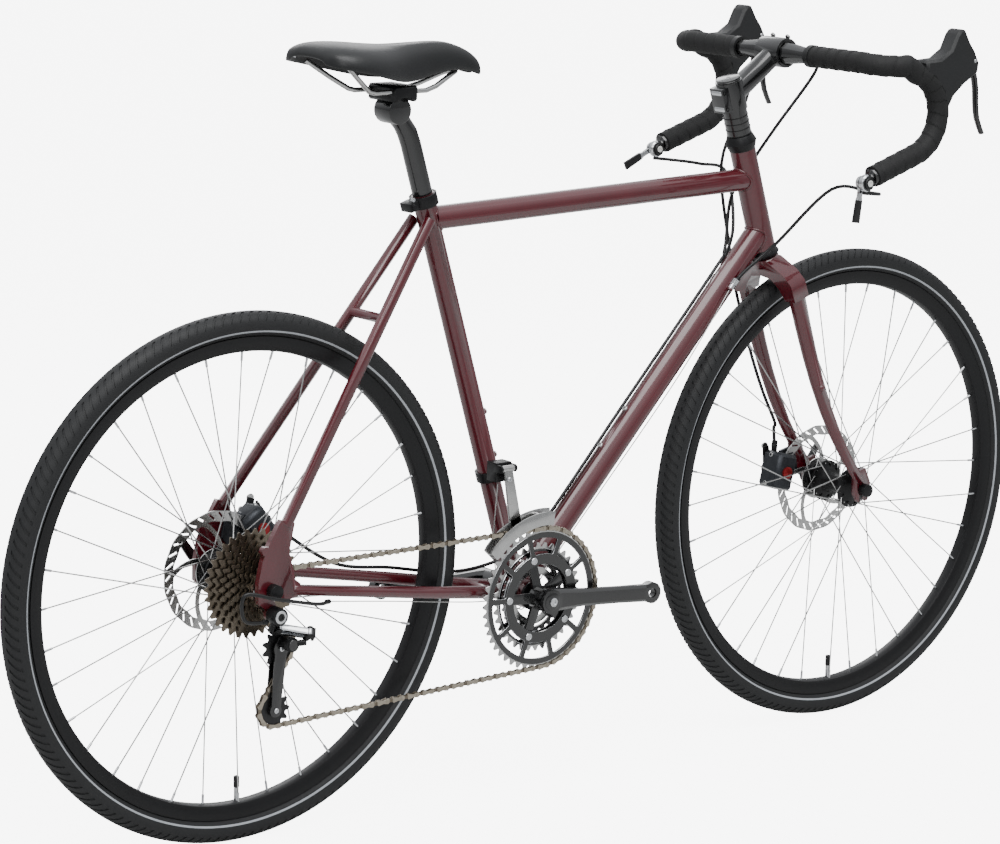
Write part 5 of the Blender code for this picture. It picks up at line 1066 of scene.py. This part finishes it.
def wound_tape(node, side):
    """A sleeve of rows along the bar, closed at both ends."""
    line = spaced(bar_curve(side), TAPE_STEP)
    points, faces = [], []
    across = Z.copy()
    for i, point in enumerate(line):
        ahead = line[min(i + 1, len(line) - 1)] - line[max(i - 1, 0)]
        ahead.normalize()
        across = (across - ahead * across.dot(ahead)).normalized()
        points += tape_row(point, ahead, across, i, side)
    last = len(points) - TAPE_SIDES
    for base in range(0, last, TAPE_SIDES):
        for k in range(TAPE_SIDES):
            n = (k + 1) % TAPE_SIDES
            above = base + TAPE_SIDES
            faces.append((base + k, base + n, above + n, above + k))
    faces.append(tuple(range(TAPE_SIDES - 1, -1, -1)))
    faces.append(tuple(range(last, len(points))))
    sleeve = bpy.data.objects.new(node + "_wound", bpy.data.meshes.new(node + "_wound"))
    sleeve.data.from_pydata([tuple(p) for p in points], [], faces)
    bpy.context.scene.collection.objects.link(sleeve)
    tidy(sleeve)
    stands_for(sleeve, node, tape, 60)
    print(node, "tape", round(len(line) * 1.75, 0), "mm long")


wound_tape("bar_tape_left", 1)
wound_tape("bar_tape_right", -1)
BAND_SECTION = ((12.1, 0), (15.9, 0.4), (15.9, 9), (12.1, 9.4))
for side, name in ((1, "left"), (-1, "right")):
    start = BAR_CENTRE + Y * side * 70 * MM
    band = turned("finishing_tape_" + name, mm(BAND_SECTION), start, Y * side, 32)
    placed(band, plastic, "steering", 40)

# %% [markdown]
# ## Stem, spacers and brake levers
# The forged stem clamps the steerer with two bolts at its back and the bar with a faceplate and four
# bolts. Under it sit black spacer rings. The hoods are moulded rubber, so their CAD shape gets wide
# rounded edges, and the levers turn on a small bright pin.

# %% Cockpit details
for node, material, bevel, segments in (
    ("stem", lacquer, 1.6, 3),
    ("handlebar", lacquer, 0.3, 1),
    ("brake_hood_left", hood_rubber, 5.0, 5),
    ("brake_hood_right", hood_rubber, 5.0, 5),
    ("brake_lever_left", lacquer, 2.0, 3),
    ("brake_lever_right", lacquer, 2.0, 3),
    ("headset_cup_upper", anodised, 0.8, 2),
    ("headset_cup_lower", anodised, 0.8, 2),
):
    dressed(node, material, bevel, 40, segments)
FOOT = HEAD - STEER_DIR * 0.45
spacer_base = FOOT + STEER_DIR * 570.4 * MM
RING_EDGE = ((17.3, 0), (18.0, 0.3), (18.0, 1.1), (17.3, 1.4))
rings = []
for d in (0, 9.0, 18.0, 27.0):
    rings.append(turned("ring", mm(RING_EDGE), spacer_base + STEER_DIR * d * MM, STEER_DIR, 40))
placed(joined("spacer_rings", rings), anodised, "steering", 40)
cap_spot = FOOT + STEER_DIR * 650.6 * MM
top_cap = knob("stem_top_cap", cap_spot, STEER_DIR, 17.0 * MM, -1 * MM, 2.0 * MM, 0.3, 40)
placed(top_cap, lacquer, "steering", 40)
cap_bolt = socket_bolt("top_cap_bolt", cap_spot + STEER_DIR * 2 * MM, STEER_DIR, 4.4 * MM, 2 * MM)
placed(cap_bolt, stainless, "steering", 40)
clamp_back = FOOT + STEER_DIR * 628.5 * MM - STEER_FRONT * 22.5 * MM
bolts = []
for d in (-12, 12):
    bolts.append(socket_bolt("bolt", clamp_back + STEER_DIR * d * MM - Y * 10 * MM, -Y, 3.6 * MM, 3.0 * MM))
    bolts.append(knob("barrel", clamp_back + STEER_DIR * d * MM, Y, 4.8 * MM, -10 * MM, 10 * MM, 0.2, 16))
placed(joined("stem_rear_bolts", bolts), polished, "steering", 40)
STEM_DIR = (BAR_CENTRE - (FOOT + STEER_DIR * 628.5 * MM)).normalized()
STEM_UP = STEM_DIR.cross(Y) * -1
plate_face = BAR_CENTRE + STEM_DIR * 17.5 * MM
bolts = []
for up in (-13.5, 13.5):
    for out in (-15, 15):
        spot = plate_face + STEM_UP * up * MM + Y * out * MM
        bolts.append(socket_bolt("bolt", spot, STEM_DIR, 3.8 * MM, 3.4 * MM))
placed(joined("faceplate_bolts", bolts), stainless, "steering", 40)
for name in ("left", "right"):
    pin = knob("lever_pin_" + name, pivot(name + "_brake"), Y, 2.6 * MM, -14.9 * MM, 14.9 * MM, 0.2, 14)
    placed(pin, polished, "steering", 40)
print("spacers", len(rings), "faceplate bolts", len(bolts))

# %% [markdown]
# ## Bar-end shifters
# Each shift lever turns on a small drum at the end of the bar. Its root is polished and its paddle is
# black plastic, so the faces beyond the root get the second material. A pale cap with a bright
# screw closes the drum.

# %% Shifters
ROOT_LENGTH = 25 * MM
for side, name in ((1, "left"), (-1, "right")):
    node = "shift_lever_" + name
    centre = pivot(name + "_shift")
    lever = merged_copy(node, node + "_finished")
    softened(lever, 1.0 * MM, 2, 40)
    lever.data.materials.clear()
    lever.data.materials.append(polished)
    lever.data.materials.append(plastic)
    tip = max((v.co for v in lever.data.vertices), key=lambda co: (co - centre).length).copy()
    reach = Vector((tip.x - centre.x, 0, tip.z - centre.z)).normalized()
    edit(lever)
    bpy.ops.mesh.bisect(plane_co=centre + reach * ROOT_LENGTH, plane_no=reach)
    bpy.ops.object.mode_set(mode="OBJECT")
    for face in lever.data.polygons:
        face.material_index = 1 if (face.center - centre).dot(reach) > ROOT_LENGTH else 0
    stands_for(lever, node, None, 35)
    spot = Vector((centre.x, side * HALF_BAR, centre.z))
    barrel = knob("shifter_drum_" + name, spot, Y, 12.0 * MM, -5.4 * MM, 5.4 * MM, 0.25, 32)
    placed(barrel, polished, "steering", 40)
    cap = knob("shifter_cap_" + name, spot, -Y, 8.2 * MM, 5.2 * MM, 8.2 * MM, 0.3, 28)
    placed(cap, plastic, "steering", 40)
    screw = socket_bolt("shifter_screw_" + name, spot - Y * 8.2 * MM, -Y, 4.6 * MM, 1.2 * MM)
    placed(screw, white_plastic, "steering", 40)
    cover = knob("shifter_lever_cap_" + name, spot, Y, 7.6 * MM, 11.6 * MM, 13.6 * MM, 0.3, 24)
    placed(cover, polished, name + "_shift_lever", 40)

# %% [markdown]
# ## Saddle and seatpost
# The saddle is a nylon shell under firm foam and a grained vinyl cover pulled tight, so it has no
# folds: two levels of subdivision give the CAD shape its crowned form. A shallow groove is pressed
# along the middle where the real cover dips.

# %% Saddle
saddle = merged_copy("saddle", "saddle_cover")
edit(saddle)
bpy.ops.mesh.quads_convert_to_tris()
bpy.ops.mesh.tris_convert_to_quads(face_threshold=radians(60), shape_threshold=radians(70))
bpy.ops.object.mode_set(mode="OBJECT")
subdivision = saddle.modifiers.new("crown", "SUBSURF")
subdivision.levels = subdivision.render_levels = 2
applied(saddle)
low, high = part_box("saddle")
GROOVE_HALF, GROOVE_DEPTH, GROOVE_FROM, GROOVE_TO = 14 * MM, 2.2 * MM, 0.12, 0.80
for vertex in saddle.data.vertices:
    share = (vertex.co.x - low.x) / (high.x - low.x)
    across = abs(vertex.co.y) / GROOVE_HALF
    if across < 1 and vertex.co.z > low.z + 22 * MM and GROOVE_FROM < share < GROOVE_TO:
        deep = sin(pi * (share - GROOVE_FROM) / (GROOVE_TO - GROOVE_FROM)) * (1 - across**2) ** 2
        vertex.co.z -= GROOVE_DEPTH * deep
stands_for(saddle, "saddle", vinyl, 75)
for node, material, bevel, angle in (
    ("saddle_rails", stainless, 0.0, 50),
    ("saddle_clamp", anodised, 1.0, 40),
    ("seatpost", lacquer, 1.2, 40),
    ("seat_collar", anodised, 0.8, 40),
):
    dressed(node, material, bevel, angle)
RIVET = ((0, -4), (6.0, -4), (6.0, 0.6), (4.6, 1.5), (3.4, 0.9), (0, 0.9))
for side, name in ((-1, "right"), (1, "left")):
    spot = Vector((low.x + 20 * MM, side * 56 * MM, low.z + 37 * MM))
    out = Vector((-0.55, side * 0.80, 0.1)).normalized()
    rivet = turned("saddle_rivet_" + name, mm(RIVET), spot, out, 24)
    placed(rivet, polished, "saddle_assembly", 40)
collar_low, collar_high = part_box("seat_collar")
ear = Vector((collar_low.x + 7 * MM, -7.5 * MM, (collar_low.z + collar_high.z) / 2 + 3 * MM))
placed(socket_bolt("collar_bolt", ear, -Y, 3.4 * MM, 3 * MM), polished, "frame", 40)
print("saddle", len(saddle.data.polygons), "faces")

# %% [markdown]
# ## Control housings
# Each housing is a plastic-skinned spring that sweeps in one easy curve from its lever to its stop;
# beyond the stop only the bare wire runs on. The CAD solids follow the same corners in straight
# steps, so here a smooth line through those corners carries a round section. The three housings that
# reach from the bars to the frame flex when the bars turn; here they keep the shape they are drawn in.

# %% Routes of the housings and bare wires, in millimetres
REAR_BRAKE = (
    (391, -71, 988.7), (401, -58, 986.7), (424, -30, 958.7), (383, -2, 885.2), (365, 24, 835.2),
    (338.7, 40, 781.5), (314.2, 23.5, 708.4), (284.5, 12.7, 681.5), (119.1, 12.7, 501.1),
    (-12.7, 12.7, 357.4), (-45.3, 32.5, 315.3), (-101.7, 43.5, 297), (-174.3, 35, 301.3),
    (-251.2, 49, 314.8), (-336.6, 61, 329.8), (-423.5, 70, 387.3), (-442.5, 70, 401.4),
)
FRONT_BRAKE = (
    (391, 71, 988.7), (397, 70, 968.7), (386, 68, 913.7), (342.2, 67, 826.2), (364.4, 68, 702.6),
    (374.8, 67.7, 655), (403.2, 61.3, 558.5), (433.6, 61, 488.4), (461.4, 60.8, 437.4),
    (456.8, 57, 428.7), (459.8, 57, 402.7),
)
RIGHT_LOOP = (
    (345.7, -217, 815.6), (379.7, -213, 811.6), (401.7, -175, 807.6), (389.7, -110, 805.6),
    (349.7, -46.4, 725.1), (311.9, -24.4, 685.2), (293.9, -20.4, 667.8),
)
RIGHT_WIRE = (
    (293.9, -20.4, 667.8), (284.6, -20.4, 657.6), (258.1, -21.5, 624.2), (204.2, -17.8, 551.5),
    (144.6, -11.5, 477.7), (25, -4.5, 343.1), (-22.1, -3, 291.3), (-60.2, -8, 247.4),
    (-73.8, -8, 244.6), (-86.8, -8, 249.7), (-94.7, -8, 260.6), (-174.3, -30, 273),
    (-328.1, -59, 302), (-439.2, -70, 320),
)
TAIL_LOOP = (
    (-439.2, -70, 320), (-469.1, -84, 323.7), (-543, -102.5, 344), (-588, -95.5, 354),
    (-583.5, -88.5, 319), (-546.5, -85.5, 311),
)
LEFT_LOOP = (
    (345.7, 217, 815.6), (377.7, 213, 811.6), (395.7, 172, 809.6), (385.7, 104, 805.6),
    (357.7, 54.4, 735.1), (313.3, 26.4, 686.7), (293.9, 20.4, 667.8),
)
LEFT_WIRE = (
    (293.9, 20.4, 667.8), (284.6, 20.4, 657.6), (258.1, 21.5, 624.2), (204.2, 17.8, 551.5),
    (144.6, 11.5, 477.7), (25, 4.5, 343.1), (-22.1, 3, 291.3), (-60.2, -1.5, 247.4),
    (-73.8, -1.5, 244.6), (-86.8, -1.5, 249.7), (-94.7, -1.5, 260.6), (-103.7, -4, 275),
    (-127.7, -18, 339), (-130.7, -27, 430),
)


# %% Housings and wires
def route(corners):
    """Corners in millimetres as a smooth line in metres."""
    return rounded([Vector(corner) * MM for corner in corners], 8)


def flexing(obj, node, material):
    """A housing in its finish, shaded smooth and fixed where it lies, in place of the node."""
    obj.data.materials.clear()
    obj.data.materials.append(material)
    smooth(obj, 60)
    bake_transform(obj)
    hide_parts(node)


HOUSING_R = 2.5 * MM
flexing(
    bent("rear_brake_housing", [route(REAR_BRAKE)], HOUSING_R), "rear_brake_cable", housing,
)
SHIFT_LOOPS = (("right", RIGHT_LOOP, "rear_shift_cable"), ("left", LEFT_LOOP, "front_shift_cable"))
for name, loop, node in SHIFT_LOOPS:
    loop_piece = bent(name + "_shift_housing", [route(loop)], HOUSING_R)
    flexing(loop_piece, node, housing)
wires = bent("derailleur_wires", [route(RIGHT_WIRE), route(LEFT_WIRE)], 0.8 * MM, 8)
placed(wires, stainless, "frame", 60)
tail = bent("rear_derailleur_housing", [route(TAIL_LOOP)], HOUSING_R)
placed(tail, housing, "frame", 60)
stands_for(bent("front_brake_housing", [route(FRONT_BRAKE)], HOUSING_R), "front_brake_cable", housing, 60)
print("rear brake housing", len(REAR_BRAKE), "corners, front", len(FRONT_BRAKE))

# %% [markdown]
# A ferrule is the small metal cap that a housing ends in. It points back along the housing.

# %% Ferrules
caps = []
for line, radius, length in (
    (RIGHT_LOOP, 3.4, 11),
    (LEFT_LOOP, 3.4, 11),
    (TAIL_LOOP[::-1], 3.3, 9),
    (TAIL_LOOP, 3.3, 9),
    (REAR_BRAKE, 3.3, 9),
):
    end, before = Vector(line[-1]) * MM, Vector(line[-2]) * MM
    caps.append(knob("ferrule", end, before - end, radius * MM, 0, length * MM, 0.25, 18))
placed(joined("frame_ferrules", caps), anodised, "frame", 40)
print("ferrules", len(caps))

# %% [markdown]
# ## Weld beads
# The tubes are joined with a torch and a filler rod, which leaves a raised bead of small ripples
# along every joint. The bead follows the line where two round tubes meet, so each of its points is
# found by sliding along one tube until it touches the other.


# %% Beads where two tubes meet
def meeting_line(foot, along, radius, other_foot, other_along, other_radius, count=96):
    """Points round one tube where its skin meets the skin of another."""
    first, second = side_of(along)
    points = []
    for k in range(count):
        turn = 2 * pi * k / count
        start = foot + (first * cos(turn) + second * sin(turn)) * radius
        gap, run = start - other_foot, along
        gap = gap - other_along * gap.dot(other_along)
        run = run - other_along * run.dot(other_along)
        a, b, c = run.dot(run), 2 * run.dot(gap), gap.dot(gap) - other_radius**2
        inside = b * b - 4 * a * c
        if inside < 0:
            continue
        points.append(start + along * (-b + inside**0.5) / (2 * a))
    return points


def weld_bead(name, points, radius=1.7 * MM):
    """A closed rippled bead along a line."""
    curve = bpy.data.curves.new(name, "CURVE")
    curve.dimensions = "3D"
    curve.bevel_depth = radius
    curve.bevel_resolution = 1
    spline = curve.splines.new("POLY")
    spline.points.add(len(points) - 1)
    spline.use_cyclic_u = True
    for k, (point, place) in enumerate(zip(spline.points, points)):
        point.co = (*place, 1)
        point.radius = 1.0 + (0.22 if k % 2 else -0.12)
    obj = bpy.data.objects.new(name, curve)
    bpy.context.scene.collection.objects.link(obj)
    only(obj)
    bpy.ops.object.convert(target="MESH")
    return tidy(bpy.context.object)


TOP_REAR, TOP_FRONT = Vector((-0.2371, 0, 0.7935)), Vector((0.3331, 0, 0.811))
TOP_DIR = (TOP_FRONT - TOP_REAR).normalized()
TOP_R, DOWN_R, SEAT_R, HEAD_R, SHELL_R = 15.9 * MM, 17.5 * MM, 14.6 * MM, 18.2 * MM, 20.0 * MM
beads = (
    (TOP_FRONT, -TOP_DIR, TOP_R, FOOT, STEER_DIR, HEAD_R),
    (TOP_REAR, TOP_DIR, TOP_R, BB, SEAT_DIR, SEAT_R),
    (BB + DOWN_DIR * 0.634, -DOWN_DIR, DOWN_R, FOOT, STEER_DIR, HEAD_R),
    (BB, DOWN_DIR, DOWN_R, BB, Y, SHELL_R),
    (BB, SEAT_DIR, SEAT_R, BB, Y, SHELL_R),
)
rings = [weld_bead("bead", meeting_line(*bead)) for bead in beads]
placed(joined("weld_beads", rings), enamel, "frame", 60)
print("weld beads", len(beads))

# %% [markdown]
# ## Bosses, bolts and adjusters on the frame
# Threaded bosses on the down and seat tubes take a bottle holder and are closed with small steel
# screws. On each side of the down tube a barrel adjuster takes the shift housing; its grip is turned
# with a few ridges, so that it can be set by hand.

# %% Bottle screws
screws = []
for tube in ("down_tube", "seat_tube"):
    for end in ("low", "high"):
        boss = mounts[tube + "_bottle_boss_" + end]
        spot, out = Vector(boss["pos_m"]), Vector(boss["axis"])
        screws.append(socket_bolt("screw", spot, out, 4.2 * MM, 2.6 * MM))
placed(joined("bottle_screws", screws), stainless, "frame", 40)

# %% Barrel adjusters at the housing stops
RIDGED = [(0, -7), (4.2, -7), (4.2, -1), (5.2, -0.5)]
for step in range(4):
    RIDGED += [(5.2, step * 2 + 0.2), (4.7, step * 2 + 1.0)]
RIDGED += [(5.2, 8.4), (4.4, 9.4), (0, 9.4)]
barrels = []
for loop in (RIGHT_LOOP, LEFT_LOOP):
    stop = Vector(loop[-1]) * MM
    barrels.append(turned("barrel", mm(RIDGED), stop - DOWN_DIR * 3 * MM, DOWN_DIR, 28))
placed(joined("shift_barrel_adjusters", barrels), polished, "frame", 35)

# %% [markdown]
# ## Disc brake calipers
# Each caliper is a cast body over the edge of the disc. On its inner face sits a red knob that sets
# the fixed pad. On its outer face an arm turns on a large screw and the brake wire is clamped to the
# arm's end under a rubber bellows.


# %% Caliper knob, screws and bellows
BODY_INNER, BODY_OUTER, ARM_OUTER = 13 * MM, 25.5 * MM, 30.8 * MM
ARM_LENGTH = 34 * MM
PAD_KNOB = ((0, -3.6), (6.4, -3.6), (8.9, -2.6), (8.9, 0.5), (0, 0.5))
FOLDS = 5


def bellows_profile(span):
    """Rubber folds that get narrower towards the wire."""
    folds = [(0, 0), (4.6, 0), (4.6, 2)]
    for step in range(FOLDS):
        place = 2 + (span - 3) * (step + 0.5) / FOLDS
        wide = 4.9 - 0.45 * step
        folds += [(wide, place - 0.7), (wide - 1.1, place + 0.7)]
    return mm(folds + [(2.0, span), (0, span)])


def fixing_screws(centre, disc_y, body_angle):
    """Two screws on the outer face of the body and two on its rim."""
    radial, long_way = flat(body_angle), flat(body_angle + pi / 2)
    screws = []
    for sign in (-1, 1):
        spot = centre + long_way * sign * 20 * MM + radial * 6 * MM
        screws.append(socket_bolt("bolt", spot + Y * (disc_y + BODY_OUTER - 0.5 * MM), Y, 4.4 * MM, 4.6 * MM))
        rim_spot = centre + long_way * sign * 21 * MM - radial * 2 * MM + Y * (disc_y + 8 * MM)
        screws.append(socket_bolt("bolt", rim_spot + radial * 19 * MM, radial, 3.6 * MM, 3.0 * MM))
    return screws


def caliper_details(name, centre, disc_y, body, arm_angle, body_angle, cable_end):
    """The knob, screws, bellows, cable adjuster and arm bolts of one caliper."""
    dial = turned(name + "_caliper_pad_knob", mm(PAD_KNOB), centre + Y * (disc_y - BODY_INNER), Y, 28)
    placed(dial, red_anodised, body, 40)
    screws = fixing_screws(centre, disc_y, body_angle)
    placed(joined(name + "_caliper_fixing_screws", screws), stainless, body, 40)
    arm_face = disc_y + ARM_OUTER
    reach = centre + flat(arm_angle, ARM_LENGTH)
    shaft = socket_bolt("bolt", centre + Y * (arm_face - 0.3 * MM), Y, 7.2 * MM, 3.6 * MM)
    clamp = socket_bolt("bolt", reach + Y * (arm_face - 1.2 * MM), Y, 4.4 * MM, 4.2 * MM)
    washer = knob("washer", reach, Y, 5.6 * MM, arm_face - 2.0 * MM, arm_face - 0.4 * MM, 0.2, 20)
    arm_screws = joined(name + "_caliper_arm_screws", [shaft, clamp, washer])
    placed(arm_screws, stainless, name + "_brake_arm", 40)
    inlet = Vector(cable_end) * MM
    goal = Vector((reach.x, inlet.y, reach.z))
    folds = bellows_profile((goal - inlet).length / MM - 3)
    bellows = turned(name + "_caliper_bellows", folds, inlet, goal - inlet, 22)
    placed(bellows, hood_rubber, body, 40)
    inwards = Vector((centre.x, inlet.y, centre.z)) - inlet
    screw_in = knob(name + "_caliper_adjuster", inlet, inwards, 4.4 * MM, -7 * MM, 13 * MM, 0.2, 20)
    placed(screw_in, anodised, body, 40)


# %% Both calipers
FRONT_CALIPER, REAR_CALIPER = Vector((0.4578, 0, 0.3667)), Vector((-0.4675, 0, 0.3973))
for name in ("rear", "front"):
    dressed(name + "_brake_caliper", cast, 2.2, 40, 3)
for name in ("front", "rear"):
    dressed(name + "_caliper_arm", anodised, 0.8)
rear_angles, front_angles = (radians(75), radians(37)), (radians(100), radians(166))
caliper_details("rear", REAR_CALIPER, REAR_DISC_Y, "frame", *rear_angles, REAR_BRAKE[-1])
caliper_details("front", FRONT_CALIPER, FRONT_DISC_Y, "steering", *front_angles, FRONT_BRAKE[-1])
print("calipers dressed at", REAR_CALIPER, FRONT_CALIPER)

# %% [markdown]
# ## Remaining metal pieces
# The other pieces already have their real shape in the CAD model. They are turned, forged or
# pressed, so their edges are broken by half a millimetre to a millimetre, which is what catches the
# light on a machined edge.

# %% Axles, levers, cranks and derailleur bodies
for node, material, bevel in (
    ("bottom_bracket_cartridge", anodised, 0.5),
    ("front_derailleur_clamp", anodised, 0.5),
    ("rear_axle", anodised, 0.8),
    ("front_axle", anodised, 0.8),
    ("front_qr_lever", lacquer, 1.0),
    ("rear_qr_lever", lacquer, 1.0),
    ("rd_b_knuckle", anodised, 0.8),
    ("rd_p_knuckle", anodised, 0.8),
    ("rd_cage", lacquer, 0.4),
    ("rd_link_outer", polished, 0.8),
    ("rd_link_inner", polished, 0.5),
):
    dressed(node, material, bevel)
plain = [node for node, obj in frame["nodes"].items() if not obj.hide_render]
print("CAD pieces still showing as they are:", plain)

# %% [markdown]
# ## Floor, light and camera
# The bicycle stands on a plain pale floor under one broad soft light from above and two weaker
# ones, as in a catalogue studio. The floor and the backdrop glow for the camera alone, so
# both look white without throwing more light on the bicycle. The camera is a long lens from
# behind and to the right, slightly above the saddle, and it is rolled by a degree and a half.

# %% Floor and backdrop
bpy.ops.object.select_all(action="DESELECT")
bpy.ops.mesh.primitive_plane_add(size=60, location=(0, 0, 0))
floor = bpy.context.object
floor.name = "studio_floor"
white = {"Emission_Color": paint("FFFFFF")}
paper = finish("matte_studio_paper", "C9C9C8", "C4C4C3", 0.9, 900, 6, 0.01, **white)
tree = paper.node_tree
looked_at = add(tree, "ShaderNodeLightPath").outputs["Is Camera Ray"]
glow = add(tree, "ShaderNodeMath", {0: looked_at, 1: 7.0}, operation="MULTIPLY")
tree.links.new(glow.outputs[0], tree.nodes["Principled BSDF"].inputs["Emission Strength"])
floor.data.materials.append(paper)

# %% Soft light
world = bpy.data.worlds.new("pale_studio")
world.use_nodes = True
sky = world.node_tree.nodes["Background"]
tree = world.node_tree
heading = add(tree, "ShaderNodeTexCoord").outputs["Generated"]
direction = add(tree, "ShaderNodeSeparateXYZ", {0: heading})
range_of_light = {"Value": direction.outputs[2], 1: -0.1, 2: 0.7, 3: 0.20, 4: 1.25}
height = add(tree, "ShaderNodeMapRange", range_of_light)
seen = add(tree, "ShaderNodeLightPath").outputs["Is Camera Ray"]
strength = add(tree, "ShaderNodeMix", {0: seen, 2: height.outputs[0], 3: 9.0})
sky.inputs["Color"].default_value = paint("F6F8FB")
tree.links.new(strength.outputs[0], sky.inputs["Strength"])
bpy.context.scene.world = world


def softbox(name, place, size, power, aim=(0, 0, 0.5)):
    """A rectangular area light that looks at a point."""
    lamp = bpy.data.lights.new(name, "AREA")
    lamp.shape = "RECTANGLE"
    lamp.size, lamp.size_y = size
    lamp.energy = power
    obj = bpy.data.objects.new(name, lamp)
    obj.location = place
    obj.rotation_euler = (Vector(aim) - Vector(place)).to_track_quat("-Z", "Y").to_euler()
    bpy.context.scene.collection.objects.link(obj)


softbox("key_above", (-0.6, -1.2, 3.4), (3.2, 1.6), 80)
softbox("fill_right", (-2.6, -2.6, 2.6), (1.2, 1.2), 14)
softbox("rim_left", (1.4, 3.0, 2.0), (2.2, 1.4), 30)

# %% Camera
EYE = Vector((-2.9653, -3.5218, 1.4219))
TURN, TILT, ROLL = -0.6817, 0.1989, 0.02532
lens = bpy.data.cameras.new("long_lens")
lens.sensor_width = 36
lens.lens = 123.36
lens.clip_start, lens.clip_end = 0.05, 200
camera = bpy.data.objects.new("long_lens", lens)
back = Vector((sin(TURN) * cos(TILT), -cos(TURN) * cos(TILT), sin(TILT)))
right = Vector((cos(TURN), sin(TURN), 0))
up = back.cross(right)
level_right = cos(ROLL) * right + sin(ROLL) * up
level_up = -sin(ROLL) * right + cos(ROLL) * up
camera.matrix_world = Matrix.Translation(EYE) @ Matrix((level_right, level_up, back)).transposed().to_4x4()
bpy.context.scene.collection.objects.link(camera)
bpy.context.scene.camera = camera
